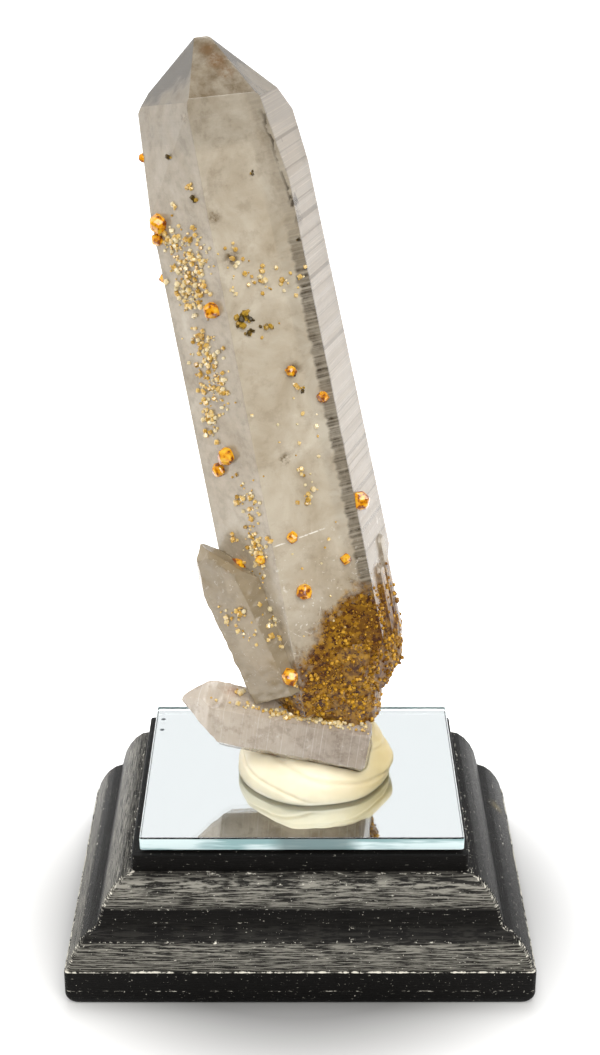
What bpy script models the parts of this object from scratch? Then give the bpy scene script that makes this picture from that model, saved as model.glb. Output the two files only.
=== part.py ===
"""Spessartine on smoky quartz, set in mineral tack on a mirror-topped display stand.

Metres, +Z up. The origin is on the table, under the middle of the stand, whose front faces -Y.
The stand's moulding goes round its front and sides, and its back is flat, level with the mirror.
The quartz is three crystals, two slender ones and a stained root grown together, so it is one
solid, with the small garnets fused to it. The large garnets sit in sockets in it. They, the tack,
the mirror and the stand are pieces of their own.
"""
import math
import random

import bmesh
import bpy
from mathutils import Matrix, Quaternion, Vector, noise

MM = 0.001

# Driving dimensions
MIRROR_WIDTH = 75.0 * MM
MIRROR_DEPTH = 63.5 * MM
MIRROR_THICKNESS = 3.5 * MM
MIRROR_EDGE = 0.35 * MM
MIRROR_CORNER = 0.7 * MM
MIRROR_MIDDLE = Vector((0.4, 7.8)) * MM  # close to the stand's flat back
GAP = 0.3 * MM  # between pieces that touch
STAND_HEIGHT = 30.7 * MM
MIRROR_BOTTOM = STAND_HEIGHT + GAP
MIRROR_TOP = MIRROR_BOTTOM + MIRROR_THICKNESS
TACK_BOTTOM = MIRROR_TOP + GAP

# The stand's moulding, from the table up: an edge slab, a round, a neck, a smaller round and the
# plate under the mirror. Reaches go out from the mirror's edge.
STAND_CORNER = 1.2 * MM
STAND_BACK_CORNER = 0.5 * MM
STAND_BACK = 40.35 * MM
SLAB_REACH = 16.4 * MM
SLAB_ROUND = 3.2 * MM
SLAB_TOP = 9.1 * MM
SLAB_ROUND_STEPS = 5
SLAB_FRONT_SHARE = 0.5  # the slab's lower edge is less rounded in front than at the sides
ROUNDS = (
    (16.0 * MM, 9.1 * MM), (15.4 * MM, 11.1 * MM), (14.4 * MM, 13.0 * MM), (13.1 * MM, 14.7 * MM),
    (11.4 * MM, 16.0 * MM), (9.4 * MM, 16.7 * MM), (8.9 * MM, 18.6 * MM), (8.3 * MM, 20.8 * MM),
    (7.2 * MM, 22.9 * MM), (5.7 * MM, 24.8 * MM), (3.9 * MM, 26.1 * MM),
)
PLATE_REACH = 1.5 * MM
PLATE_LOW = 26.5 * MM
PLATE_EDGE = 0.4 * MM

# Quartz. Every face of a crystal is (turn, lift, distance): its turn about the long axis from
# the front, its lift from the long axis, and its distance from the foot. Long faces have a lift
# near 0, the taper, and tip faces one near 38.2 degrees.
TIP = 38.2
CUT_BOX = 400.0 * MM  # a block larger than any crystal, from which the faces are cut
BROKEN_END = -90.0
CUT_TOLERANCE = 0.0001 * MM
MERGED = 0.02 * MM  # corners nearer to each other than this become one

MAIN_FOOT = Vector((9.7, 11.1, 50.0)) * MM
MAIN_AXIS = Vector((-0.197, 0.051, 0.979))
MAIN_FACES = {
    "left_back": (-109.0, 0.8, 18.2 * MM),
    "left": (-44.5, 1.6, 18.0 * MM),
    "front": (12.5, 0.8, 16.4 * MM),
    "right": (72.0, 0.4, 17.8 * MM),
    "right_back": (133.0, 1.1, 17.0 * MM),
    "back": (192.5, 0.9, 17.0 * MM),
    "shoulder_left": (-55.0, 10.3, 38.6 * MM),
    "shoulder_right": (71.5, 7.1, 32.9 * MM),
    "shoulder_right_steep": (88.0, 22.0, 69.4 * MM),
    "tip_left": (-56.5, 36.8, 99.5 * MM),
    "tip_front": (18.0, 39.5, 106.7 * MM),
    "tip_right": (73.0, 38.0, 102.9 * MM),
    "tip_right_back": (131.5, TIP, 99.6 * MM),
    "tip_back": (190.5, TIP, 96.7 * MM),
    "tip_left_back": (-110.0, 41.2, 109.7 * MM),
    "chipped_tip": (-100.0, 60.0, 140.9 * MM),
    "broken_end": (0.0, BROKEN_END, -7.0 * MM),
    "broken_right": (100.0, -25.0, 1.6 * MM),
    "broken_left_back": (-105.0, -40.0, 4.0 * MM),
}

SIDE_FOOT = Vector((1.9, 2.3, 55.0)) * MM
SIDE_AXIS = Vector((-0.415, 0.183, 0.891))
SIDE_FACES = {
    "left": (-90.0, 0.0, 10.4 * MM),
    "front_left": (-30.0, 0.0, 9.6 * MM),
    "front_right": (30.0, 0.0, 9.2 * MM),
    "right": (90.0, 0.0, 8.6 * MM),
    "back_right": (150.0, 0.0, 8.0 * MM),
    "back_left": (-150.0, 0.0, 9.0 * MM),
    "tip_left": (-90.0, TIP, 33.6 * MM),
    "tip_right": (90.0, TIP, 24.7 * MM),
    "tip_front_left": (-30.0, TIP, 34.6 * MM),
    "tip_front_right": (30.0, TIP, 31.0 * MM),
    "tip_back_right": (150.0, TIP, 24.4 * MM),
    "tip_back_left": (-150.0, TIP, 28.6 * MM),
    "chip": (-75.0, 12.0, 18.2 * MM),
    "broken_end": (0.0, BROKEN_END, 1.0 * MM),
}

LYING_FOOT = Vector((16.0, -1.8, 47.3)) * MM
LYING_AXIS = Vector((-0.977, 0.176, 0.117))
LYING_FACES = {
    "front": (5.0, 0.0, 7.3 * MM),
    "upper": (65.0, 0.0, 7.2 * MM),
    "upper_back": (125.0, 0.0, 7.0 * MM),
    "back": (185.0, 0.0, 7.0 * MM),
    "under": (-115.0, 0.0, 7.0 * MM),
    "lower": (-55.0, 0.0, 7.2 * MM),
    "tip_front": (5.0, TIP, 29.0 * MM),
    "tip_upper": (65.0, TIP, 30.4 * MM),
    "tip_upper_back": (125.0, TIP, 29.9 * MM),
    "tip_back": (185.0, TIP, 28.1 * MM),
    "tip_under": (-115.0, TIP, 26.7 * MM),
    "tip_lower": (-55.0, TIP, 27.2 * MM),
    "broken_end": (0.0, BROKEN_END, 0.8 * MM),
    "broken_corner": (-60.0, -40.0, 5.2 * MM),
    "broken_back": (140.0, -35.0, 2.0 * MM),
}

# Slender crystals that grew beside the main one: (turn and distance of the middle from the
# main axis, height of the lower and upper end above the main foot, half width)
SLENDER = (
    (83.0, 15.8 * MM, 17.0 * MM, 45.0 * MM, 2.7 * MM),
    (66.0, 16.0 * MM, 14.0 * MM, 39.0 * MM, 2.5 * MM),
)
SLENDER_UNEVEN = 0.4 * MM

HOSTS = {
    "main": (MAIN_FOOT, MAIN_AXIS, MAIN_FACES),
    "side": (SIDE_FOOT, SIDE_AXIS, SIDE_FACES),
    "lying": (LYING_FOOT, LYING_AXIS, LYING_FACES),
}

# The stained root, as broken lumps: (middle, half sizes, how many breaks, seed)
ROOT_LUMPS = (
    (Vector((12.6, 10.2, 68.0)) * MM, Vector((12.2, 14.0, 10.5)) * MM, 30, 3),
    (Vector((8.8, 7.2, 57.0)) * MM, Vector((11.0, 12.6, 12.6)) * MM, 30, 8),
    (Vector((8.2, 9.8, 50.0)) * MM, Vector((9.6, 9.4, 9.0)) * MM, 24, 12),
)
BREAK_SPREAD = 0.09
BREAK_TURN = 0.16

# The mineral tack: a pressed pad, higher at the right and back, with a pinch at the right
TACK_MIDDLE = Vector((3.4, 8.2)) * MM
TACK_HALF_WIDTH = 18.4 * MM
TACK_HALF_DEPTH = 18.2 * MM
TACK_LOW_HEIGHT = 9.4 * MM
TACK_RISE = 5.4 * MM
TACK_HIGH_SIDE = Vector((0.94, 0.342))
TACK_FOOT_LEAN = 38.0  # how far under the belly the skin starts, in degrees
TACK_FULLNESS = 0.55
TACK_WAVES = 0.025
TACK_WAVE_NUMBER = 1.7
TACK_PINCH = 1.6 * MM
TACK_PINCH_TURN = 0.12
TACK_PINCH_NARROW = 24
TACK_PINCH_LEVEL = 0.2
TACK_PINCH_HEIGHT = 0.16
TACK_RINGS = 10
TACK_SIDES = 40

# Garnets: rhombic dodecahedra whose edges are taken off by trapezohedron faces
GARNET_EDGE = 1.06  # distance of the trapezohedron faces, over that of the dodecahedron's
GARNET_UNEVEN = 0.03
GARNET_SEED = 4
GARNET_SINK = 0.35  # share of its radius that a garnet stands in its host
GRAIN_SINK = 0.30
GRAIN_TRIES = 40

# The large garnets: (host crystal, face, height up the axis, distance across the face to the
# right, radius)
LARGE_GARNETS = (
    ("main", "left_back", 138.8 * MM, 4.8 * MM, 1.0 * MM),
    ("main", "left", 124.9 * MM, -8.4 * MM, 1.9 * MM),
    ("main", "left", 121.3 * MM, -10.0 * MM, 1.3 * MM),
    ("main", "left_back", 112.0 * MM, 7.4 * MM, 1.0 * MM),
    ("main", "left", 105.6 * MM, 3.8 * MM, 1.7 * MM),
    ("main", "front", 103.4 * MM, -4.6 * MM, 1.4 * MM),
    ("main", "front", 89.0 * MM, 2.8 * MM, 1.1 * MM),
    ("main", "front", 81.5 * MM, 8.6 * MM, 1.2 * MM),
    ("main", "left", 71.3 * MM, -1.2 * MM, 1.9 * MM),
    ("main", "left", 67.7 * MM, -4.9 * MM, 1.5 * MM),
    ("main", "right", 55.0 * MM, -5.8 * MM, 2.0 * MM),
    ("main", "front", 51.3 * MM, -4.8 * MM, 1.2 * MM),
    ("main", "left", 46.6 * MM, 3.4 * MM, 1.1 * MM),
    ("main", "left", 43.7 * MM, -5.0 * MM, 1.9 * MM),
    ("main", "front", 42.9 * MM, 6.2 * MM, 1.1 * MM),
    ("main", "front", 37.9 * MM, -4.8 * MM, 1.7 * MM),
    ("side", "front_right", 10.8 * MM, -4.3 * MM, 1.8 * MM),
)

# Belts of small garnets: (host crystal, face, lowest and highest place up the axis, leftmost and
# rightmost place across the face, how many, smallest and largest radius)
BELTS = (
    ("main", "left", 107.0 * MM, 123.0 * MM, -7.0 * MM, 4.5 * MM, 12, 0.5 * MM, 0.85 * MM),
    ("main", "left", 82.0 * MM, 103.0 * MM, -6.0 * MM, 3.6 * MM, 12, 0.5 * MM, 0.8 * MM),
    ("main", "left", 48.0 * MM, 65.0 * MM, -4.6 * MM, 5.0 * MM, 10, 0.5 * MM, 0.8 * MM),
    ("main", "front", 84.0 * MM, 112.0 * MM, -5.0 * MM, 7.5 * MM, 6, 0.45 * MM, 0.7 * MM),
    ("main", "front", 56.0 * MM, 70.0 * MM, 0.0 * MM, 4.0 * MM, 2, 0.5 * MM, 0.8 * MM),
    ("main", "right_back", 60.0 * MM, 110.0 * MM, -6.0 * MM, 6.0 * MM, 5, 0.5 * MM, 0.8 * MM),
    ("main", "back", 60.0 * MM, 120.0 * MM, -6.0 * MM, 6.0 * MM, 8, 0.5 * MM, 0.8 * MM),
    ("side", "front_left", 20.0 * MM, 31.0 * MM, -1.0 * MM, 3.0 * MM, 4, 0.5 * MM, 0.8 * MM),
    ("side", "front_right", 15.0 * MM, 24.0 * MM, -3.5 * MM, 0.5 * MM, 4, 0.5 * MM, 0.8 * MM),
    ("lying", "upper", 19.0 * MM, 31.0 * MM, -1.5 * MM, 1.5 * MM, 5, 0.5 * MM, 0.9 * MM),
)
BELT_SEED = 21
ROOT_GRAINS = 26
ROOT_GRAIN_SIZES = (0.7 * MM, 1.15 * MM)
ROOT_GRAIN_DEPTH = 0.97
ROOT_GRAINS_LEFT = -0.1  # no root garnets further left or lower than these directions
ROOT_GRAINS_LOW = -0.3


def crystal_frame(foot, axis):
    """The foot of a crystal, and its directions to the right, to the front and up its axis."""
    up = axis.normalized()
    front = Vector((0.0, -1.0, 0.0))
    front = (front - front.dot(up) * up).normalized()
    return foot, up.cross(front), front, up


def face_normal(frame, turn, lift):
    _, right, front, up = frame
    a, e = math.radians(turn), math.radians(lift)
    outward = math.sin(a) * right + math.cos(a) * front
    return math.cos(e) * outward + math.sin(e) * up


def cut(bm, point, normal):
    """Cuts away what lies past a plane, and closes the cut with one face."""
    everything = bm.verts[:] + bm.edges[:] + bm.faces[:]
    result = bmesh.ops.bisect_plane(bm, geom=everything, dist=CUT_TOLERANCE,
                                    plane_co=point, plane_no=normal, clear_outer=True)
    rim = [item for item in result["geom_cut"] if isinstance(item, bmesh.types.BMEdge)]
    if rim:
        bmesh.ops.edgeloop_fill(bm, edges=rim)


def stone_from_planes(middle, planes):
    bm = bmesh.new()
    bmesh.ops.create_cube(bm, size=CUT_BOX, matrix=Matrix.Translation(middle))
    for point, normal in planes:
        cut(bm, point, normal)
    bmesh.ops.remove_doubles(bm, verts=bm.verts, dist=MERGED)
    bmesh.ops.dissolve_degenerate(bm, edges=bm.edges, dist=MERGED)
    bmesh.ops.recalc_face_normals(bm, faces=bm.faces)
    return bm


def finish(name, bm, look=None):
    mesh = bpy.data.meshes.new(name)
    bm.to_mesh(mesh)
    bm.free()
    made = bpy.data.objects.new(name, mesh)
    bpy.context.scene.collection.objects.link(made)
    if look:
        mesh.materials.append(look)
    return made


def helper(made):
    """Marks an object that only cuts or is joined to another."""
    made.hide_render = True
    made.display_type = "WIRE"
    return made


def combine(target, tool, operation):
    modifier = target.modifiers.new(tool.name, "BOOLEAN")
    modifier.object = tool
    modifier.operation = operation
    modifier.solver = "EXACT"


def material(name, colour, roughness, metallic=0.0):
    made = bpy.data.materials.new(name)
    made.use_nodes = True
    shader = made.node_tree.nodes["Principled BSDF"]
    shader.inputs["Base Color"].default_value = (*colour, 1.0)
    shader.inputs["Roughness"].default_value = roughness
    shader.inputs["Metallic"].default_value = metallic
    return made


def crystal(name, foot, axis, faces, grow=0.0, look=None):
    frame = crystal_frame(foot, axis)
    planes = []
    for turn, lift, distance in faces.values():
        normal = face_normal(frame, turn, lift)
        planes.append((foot + normal * (distance + grow), normal))
    return finish(name, stone_from_planes(foot, planes), look)


def slender_crystal(name, turn, distance, low, high, half_width):
    foot, right, front, up = crystal_frame(MAIN_FOOT, MAIN_AXIS)
    a = math.radians(turn)
    middle = foot + (math.sin(a) * right + math.cos(a) * front) * distance + up * low
    faces = {}
    for side in range(6):
        side_turn = MAIN_FACES["front"][0] + 60.0 * side
        faces[f"side_{side}"] = (side_turn, 0.0, half_width)
        tip_height = (high - low) * math.sin(math.radians(TIP))
        faces[f"tip_{side}"] = (side_turn, TIP, tip_height + (side % 2) * SLENDER_UNEVEN)
    faces["end"] = (0.0, BROKEN_END, 0.0)
    return crystal(name, middle, MAIN_AXIS, faces)


def lump(name, middle, half, breaks, seed, grow=0.0):
    """A broken lump: planes spread evenly over an ellipsoid, each a little in or out."""
    draw = random.Random(seed)
    golden = math.pi * (3.0 - math.sqrt(5.0))
    planes = []
    for index in range(breaks):
        z = 1.0 - 2.0 * (index + 0.5) / breaks
        ring = math.sqrt(1.0 - z * z)
        normal = Vector((ring * math.cos(golden * index), ring * math.sin(golden * index), z))
        normal += Vector([draw.uniform(-BREAK_TURN, BREAK_TURN) for _ in range(3)])
        normal.normalize()
        reach = Vector([normal[i] * half[i] for i in range(3)]).length
        reach *= 1.0 + draw.uniform(-BREAK_SPREAD, BREAK_SPREAD)
        planes.append((middle + normal * (reach + grow), normal))
    return finish(name, stone_from_planes(middle, planes))


def unit_garnet(edge=None):
    """A garnet whose dodecahedron faces are about 1 from its middle, no two quite alike."""
    draw = random.Random(GARNET_SEED)
    planes = []
    for a in (0, 1, 2):
        b, c = (a + 1) % 3, (a + 2) % 3
        for s in (-1, 1):
            for t in (-1, 1):
                rhomb = Vector((0, 0, 0))
                rhomb[b], rhomb[c] = s, t
                distance = 1.0 + draw.uniform(-GARNET_UNEVEN, GARNET_UNEVEN)
                planes.append((rhomb.normalized() * distance, rhomb))
                for r in (-1, 1) if edge else ():
                    kite = Vector((0, 0, 0))
                    kite[a], kite[b], kite[c] = 2 * r, s, t
                    distance = edge + draw.uniform(-GARNET_UNEVEN, GARNET_UNEVEN)
                    planes.append((kite.normalized() * distance, kite))
    bm = bmesh.new()
    bmesh.ops.create_cube(bm, size=4.0)
    for point, normal in planes:
        cut(bm, point, normal)
    bmesh.ops.remove_doubles(bm, verts=bm.verts, dist=0.004)
    bmesh.ops.recalc_face_normals(bm, faces=bm.faces)
    mesh = bpy.data.meshes.new("unit_garnet")
    bm.to_mesh(mesh)
    bm.free()
    return mesh


def place_on(host, face, height, across):
    """A point on a crystal's long face, and the face's normal."""
    foot, axis, faces = HOSTS[host]
    frame = crystal_frame(foot, axis)
    turn, lift, distance = faces[face]
    normal = face_normal(frame, turn, lift)
    up = frame[3]
    sideways = face_normal(frame, turn + 90.0, 0.0)
    start = foot + up * height + sideways * across
    slide = (distance - (start - foot).dot(normal)) / normal.dot(face_normal(frame, turn, 0.0))
    return start + face_normal(frame, turn, 0.0) * slide, normal


def turned(draw):
    """A random direction to turn a garnet to, from a seeded draw."""
    axis = Vector([draw.gauss(0.0, 1.0) for _ in range(3)])
    return Quaternion(axis.normalized(), draw.uniform(0.0, math.pi)).to_matrix().to_4x4()


def garnet(name, shape, point, radius, turn, look=None):
    bm = bmesh.new()
    bm.from_mesh(shape)
    bm.transform(Matrix.Translation(point) @ turn @ Matrix.Scale(radius, 4))
    return finish(name, bm, look)


def belt_places(draw, taken):
    """Places of the small garnets, spread over their belts and kept apart from each other."""
    places = []
    for host, face, low, high, left, right, count, small, large in BELTS:
        placed = 0
        for _ in range(count * GRAIN_TRIES):
            if placed == count:
                break
            point, normal = place_on(host, face, draw.uniform(low, high), draw.uniform(left, right))
            radius = draw.uniform(small, large)
            if all((point - other).length > radius + reach + GAP for other, reach in taken):
                places.append((point - normal * radius * GRAIN_SINK, radius))
                taken.append((point, radius))
                placed += 1
    return places


def root_places(draw, taken):
    """Places of the garnets that crust the root, on its lumps."""
    places = []
    for middle, half, *_ in ROOT_LUMPS:
        placed = 0
        while placed < ROOT_GRAINS // len(ROOT_LUMPS):
            away = Vector([draw.gauss(0.0, 1.0) for _ in range(3)]).normalized()
            if away.x < ROOT_GRAINS_LEFT or away.z < ROOT_GRAINS_LOW:
                continue
            reach = 1.0 / math.sqrt(sum((away[i] / half[i]) ** 2 for i in range(3)))
            point = middle + away * reach * ROOT_GRAIN_DEPTH
            radius = draw.uniform(*ROOT_GRAIN_SIZES)
            if all((point - other).length > radius + size + GAP for other, size in taken):
                places.append((point, radius))
                taken.append((point, radius))
                placed += 1
    return places


def grains(places, draw):
    """All the small garnets, as one helper mesh of bodies that stay clear of each other."""
    shape = unit_garnet()
    bm = bmesh.new()
    for point, radius in places:
        known = len(bm.verts)
        bm.from_mesh(shape)
        bm.verts.ensure_lookup_table()
        move = Matrix.Translation(point) @ turned(draw) @ Matrix.Scale(radius, 4)
        bmesh.ops.transform(bm, matrix=move, verts=bm.verts[known:])
    return helper(finish("garnet_grains", bm))


def rounded_ring(left, right, front, back, z, front_corner, back_corner, steps=3):
    """Points around a rectangle with rounded corners, anticlockwise from its right back one."""
    points = []
    corners = ((right, back, -1, -1, back_corner), (left, back, 1, -1, back_corner),
               (left, front, 1, 1, front_corner), (right, front, -1, 1, front_corner))
    for number, (x, y, inward_x, inward_y, radius) in enumerate(corners):
        for step in range(steps + 1):
            a = math.radians(90.0 * number + 90.0 * step / steps)
            points.append(Vector((x + inward_x * radius + radius * math.cos(a),
                                  y + inward_y * radius + radius * math.sin(a), z)))
    return points


def skin(rings):
    """A closed solid through rings of the same number of points, from the lowest up."""
    bm = bmesh.new()
    rows = [[bm.verts.new(point) for point in ring] for ring in rings]
    count = len(rows[0])
    for low, high in zip(rows, rows[1:]):
        for i in range(count):
            j = (i + 1) % count
            bm.faces.new((low[i], low[j], high[j], high[i]))
    bm.faces.new(list(reversed(rows[0])))
    bm.faces.new(rows[-1])
    bmesh.ops.recalc_face_normals(bm, faces=bm.faces)
    return bm


def stand_profile():
    """The moulding as (side reach, front reach, height), from the table up."""
    profile = []
    for step in range(SLAB_ROUND_STEPS + 1):
        a = math.radians(90.0 * step / SLAB_ROUND_STEPS)
        inset = SLAB_ROUND * (1.0 - math.sin(a))
        profile.append((SLAB_REACH - inset, SLAB_REACH - inset * SLAB_FRONT_SHARE,
                        SLAB_ROUND * (1.0 - math.cos(a))))
    upper = [(SLAB_REACH, SLAB_TOP - PLATE_EDGE), *ROUNDS, (PLATE_REACH, PLATE_LOW),
             (PLATE_REACH, STAND_HEIGHT - PLATE_EDGE), (PLATE_REACH - PLATE_EDGE, STAND_HEIGHT)]
    return profile + [(reach, reach, height) for reach, height in upper]


def make_stand():
    rings = []
    for side_reach, front_reach, height in stand_profile():
        side = MIRROR_WIDTH / 2 + side_reach
        front = MIRROR_MIDDLE.y - MIRROR_DEPTH / 2 - front_reach
        rings.append(rounded_ring(-side, side, front, STAND_BACK, height,
                                  STAND_CORNER, STAND_BACK_CORNER))
    wood = material("black_painted_wood", (0.012, 0.012, 0.011), 0.35)
    return finish("display_stand", skin(rings), wood)


def make_mirror():
    rings = []
    for height, inset in ((MIRROR_BOTTOM, MIRROR_EDGE), (MIRROR_BOTTOM + MIRROR_EDGE, 0.0),
                          (MIRROR_TOP - MIRROR_EDGE, 0.0), (MIRROR_TOP, MIRROR_EDGE)):
        side = MIRROR_WIDTH / 2 - inset
        reach = MIRROR_DEPTH / 2 - inset
        x, y = MIRROR_MIDDLE
        rings.append(rounded_ring(x - side, x + side, y - reach, y + reach, height,
                                  MIRROR_CORNER, MIRROR_CORNER))
    return finish("mirror_plate", skin(rings), material("mirror", (0.85, 0.9, 0.9), 0.05, 1.0))


def tack_point(angle, level):
    """A point of the tack's skin. level runs from 0 at the mirror to 1 at the top's middle."""
    direction = Vector((math.cos(angle), math.sin(angle)))
    height = TACK_LOW_HEIGHT + TACK_RISE * max(0.0, direction.dot(TACK_HIGH_SIDE)) ** 1.5
    lean = math.radians(-TACK_FOOT_LEAN + (90.0 + TACK_FOOT_LEAN) * level)
    waves = noise.noise((direction * TACK_WAVE_NUMBER).to_3d())
    reach = Vector((TACK_HALF_WIDTH * direction.x, TACK_HALF_DEPTH * direction.y))
    reach *= math.cos(lean) ** TACK_FULLNESS * (1.0 + TACK_WAVES * waves)
    pinch = TACK_PINCH * max(0.0, math.cos(angle + TACK_PINCH_TURN)) ** TACK_PINCH_NARROW
    pinch *= math.exp(-((level - TACK_PINCH_LEVEL) / TACK_PINCH_HEIGHT) ** 2)
    reach += direction * pinch
    sunk = math.sin(math.radians(TACK_FOOT_LEAN))
    rise = (math.sin(lean) + sunk) / (1.0 + sunk)
    return Vector((TACK_MIDDLE.x + reach.x, TACK_MIDDLE.y + reach.y, TACK_BOTTOM + height * rise))


def make_tack(hollows):
    rings = []
    for ring in range(TACK_RINGS):
        level = ring / TACK_RINGS
        rings.append([tack_point(math.tau * side / TACK_SIDES, level) for side in range(TACK_SIDES)])
    pad = skin(rings)
    bmesh.ops.triangulate(pad, faces=pad.faces)
    tack = finish("mineral_tack", pad, material("mineral_tack", (0.72, 0.66, 0.45), 0.6))
    for hollow in hollows:
        combine(tack, hollow, "DIFFERENCE")
    return tack


def make_quartz(grain_places, draw):
    """The three crystals, the slender ones, the root and the small garnets, as one solid."""
    smoky = material("smoky_quartz", (0.52, 0.46, 0.38), 0.15)
    main = crystal("smoky_quartz", MAIN_FOOT, MAIN_AXIS, MAIN_FACES, look=smoky)
    joined = [
        crystal("side_crystal", SIDE_FOOT, SIDE_AXIS, SIDE_FACES),
        crystal("lying_crystal", LYING_FOOT, LYING_AXIS, LYING_FACES),
    ]
    for number, (turn, distance, low, high, half_width) in enumerate(SLENDER, start=1):
        joined.append(slender_crystal(f"slender_{number}", turn, distance, low, high, half_width))
    for number, values in enumerate(ROOT_LUMPS, start=1):
        joined.append(lump(f"root_{number}", *values))
    joined.append(grains(grain_places, draw))
    for tool in joined:
        combine(main, helper(tool), "UNION")
    return main


def make_large_garnets(quartz, draw):
    """Each large garnet, and its socket in the quartz."""
    shape = unit_garnet(GARNET_EDGE)
    orange = material("spessartine", (0.85, 0.3, 0.02), 0.12)
    for number, (host, face, height, across, radius) in enumerate(LARGE_GARNETS, start=1):
        point, normal = place_on(host, face, height, across)
        middle = point + normal * radius * (1.0 - 2.0 * GARNET_SINK)
        turn = turned(draw)
        garnet(f"spessartine_{number:02d}", shape, middle, radius, turn, orange)
        socket = garnet(f"socket_{number:02d}", shape, middle, radius + GAP, turn)
        combine(quartz, helper(socket), "DIFFERENCE")


def clear_scene():
    for existing in list(bpy.data.objects):
        bpy.data.objects.remove(existing, do_unlink=True)


def main():
    clear_scene()
    make_stand()
    make_mirror()
    hollows = [helper(crystal("hollow_lying", LYING_FOOT, LYING_AXIS, LYING_FACES, GAP))]
    for number, values in enumerate(ROOT_LUMPS, start=1):
        hollows.append(helper(lump(f"hollow_root_{number}", *values, grow=GAP)))
    make_tack(hollows)
    draw = random.Random(BELT_SEED)
    taken = [(place_on(*values[:4])[0], values[4]) for values in LARGE_GARNETS]
    places = belt_places(draw, taken) + root_places(draw, taken)
    quartz = make_quartz(places, draw)
    make_large_garnets(quartz, draw)


if __name__ == "__main__":
    main()
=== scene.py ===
"""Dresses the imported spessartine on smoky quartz: its stones, tack, mirror and painted stand."""
import math
import random

import bmesh
import bpy
import numpy as np
from bpy.props import FloatProperty, FloatVectorProperty, IntProperty, PointerProperty, StringProperty
from mathutils import Matrix, Vector, noise


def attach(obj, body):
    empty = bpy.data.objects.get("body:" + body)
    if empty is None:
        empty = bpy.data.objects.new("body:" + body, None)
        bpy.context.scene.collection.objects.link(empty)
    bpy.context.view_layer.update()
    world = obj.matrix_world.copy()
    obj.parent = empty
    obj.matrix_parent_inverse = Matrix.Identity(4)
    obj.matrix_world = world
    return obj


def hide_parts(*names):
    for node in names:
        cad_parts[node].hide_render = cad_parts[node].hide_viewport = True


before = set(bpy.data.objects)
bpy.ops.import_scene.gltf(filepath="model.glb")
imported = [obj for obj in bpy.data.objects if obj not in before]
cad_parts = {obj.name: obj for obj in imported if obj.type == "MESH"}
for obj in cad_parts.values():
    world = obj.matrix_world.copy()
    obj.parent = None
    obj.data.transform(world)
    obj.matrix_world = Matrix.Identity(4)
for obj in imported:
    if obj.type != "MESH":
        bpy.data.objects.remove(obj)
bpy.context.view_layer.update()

bl_info = {
    "name": "Mounted Mineral Specimen",
    "version": (1, 0, 0),
    "blender": (4, 5, 0),
    "location": "View3D > Sidebar > Specimen",
    "description": "Builds spessartine on smoky quartz, in tack on a mirror-topped stand",
    "category": "Object",
}

MM = 0.001
TIP = 38.2  # degrees that a quartz tip face leans from the long axis
END = -90.0

# The quartz crystals, as in the part's source but with the side one ending higher and the lying one's
# tip knocked off: a foot, a long axis, and faces that are each a turn about the axis from the front,
# a lift from it (degrees) and a distance from the foot (mm).
CRYSTALS = {
    "main": ((9.7, 11.1, 50.0), (-0.197, 0.051, 0.979), {
        "left_back": (-109.0, 0.8, 18.2), "left": (-44.5, 1.6, 18.0), "front": (12.5, 0.8, 16.4),
        "right": (72.0, 0.4, 17.8), "right_back": (133.0, 1.1, 17.0), "back": (192.5, 0.9, 17.0),
        "shoulder_left": (-55.0, 10.3, 38.6), "shoulder_right": (71.5, 7.1, 32.9),
        "shoulder_right_steep": (88.0, 22.0, 69.4), "tip_left": (-56.5, 36.8, 99.5),
        "tip_front": (18.0, 39.5, 106.7), "tip_right": (73.0, 38.0, 102.9),
        "tip_right_back": (131.5, TIP, 99.6), "tip_back": (190.5, TIP, 96.7),
        "tip_left_back": (-110.0, 41.2, 109.7), "chipped_tip": (-100.0, 60.0, 140.9),
        "broken_end": (0.0, END, -7.0), "broken_right": (100.0, -25.0, 1.6),
        "broken_left_back": (-105.0, -40.0, 4.0)}),
    "side": ((1.9, 2.3, 55.0), (-0.415, 0.183, 0.891), {
        "left": (-90.0, 0.0, 10.4), "front_left": (-30.0, 0.0, 9.6),
        "front_right": (30.0, 0.0, 9.2), "right": (90.0, 0.0, 8.6),
        "back_right": (150.0, 0.0, 8.0), "back_left": (-150.0, 0.0, 9.0),
        "tip_left": (-90.0, TIP, 33.6), "tip_right": (90.0, TIP, 24.7),
        "tip_front_left": (-30.0, TIP, 34.6), "tip_front_right": (30.0, TIP, 31.0),
        "tip_back_right": (150.0, TIP, 24.4), "tip_back_left": (-150.0, TIP, 28.6),
        "chip": (-75.0, 12.0, 18.2), "broken_end": (0.0, END, -6.5)}),
    "lying": ((16.0, -1.8, 47.3), (-0.977, 0.176, 0.117), {
        "front": (5.0, 0.0, 7.3), "upper": (65.0, 0.0, 7.2), "upper_back": (125.0, 0.0, 7.0),
        "back": (185.0, 0.0, 7.0), "under": (-115.0, 0.0, 7.0), "lower": (-55.0, 0.0, 7.2),
        "tip_front": (5.0, TIP, 29.0), "tip_upper": (65.0, TIP, 30.4),
        "tip_upper_back": (125.0, TIP, 29.9), "tip_back": (185.0, TIP, 28.1),
        "tip_under": (-115.0, TIP, 26.7), "tip_lower": (-55.0, TIP, 27.2),
        "knocked_tip": (60.0, 75.0, 44.6),
        "broken_end": (0.0, END, 0.8), "broken_corner": (-60.0, -40.0, 5.2),
        "broken_back": (140.0, -35.0, 2.0)}),
}
# Slender crystals beside the main one: turn, distance, low and high end, half width (mm)
SLENDER = ((83.0, 15.8, 17.0, 45.0, 2.7), (66.0, 16.0, 14.0, 39.0, 2.5))
SLENDER_UNEVEN = 0.4
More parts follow.
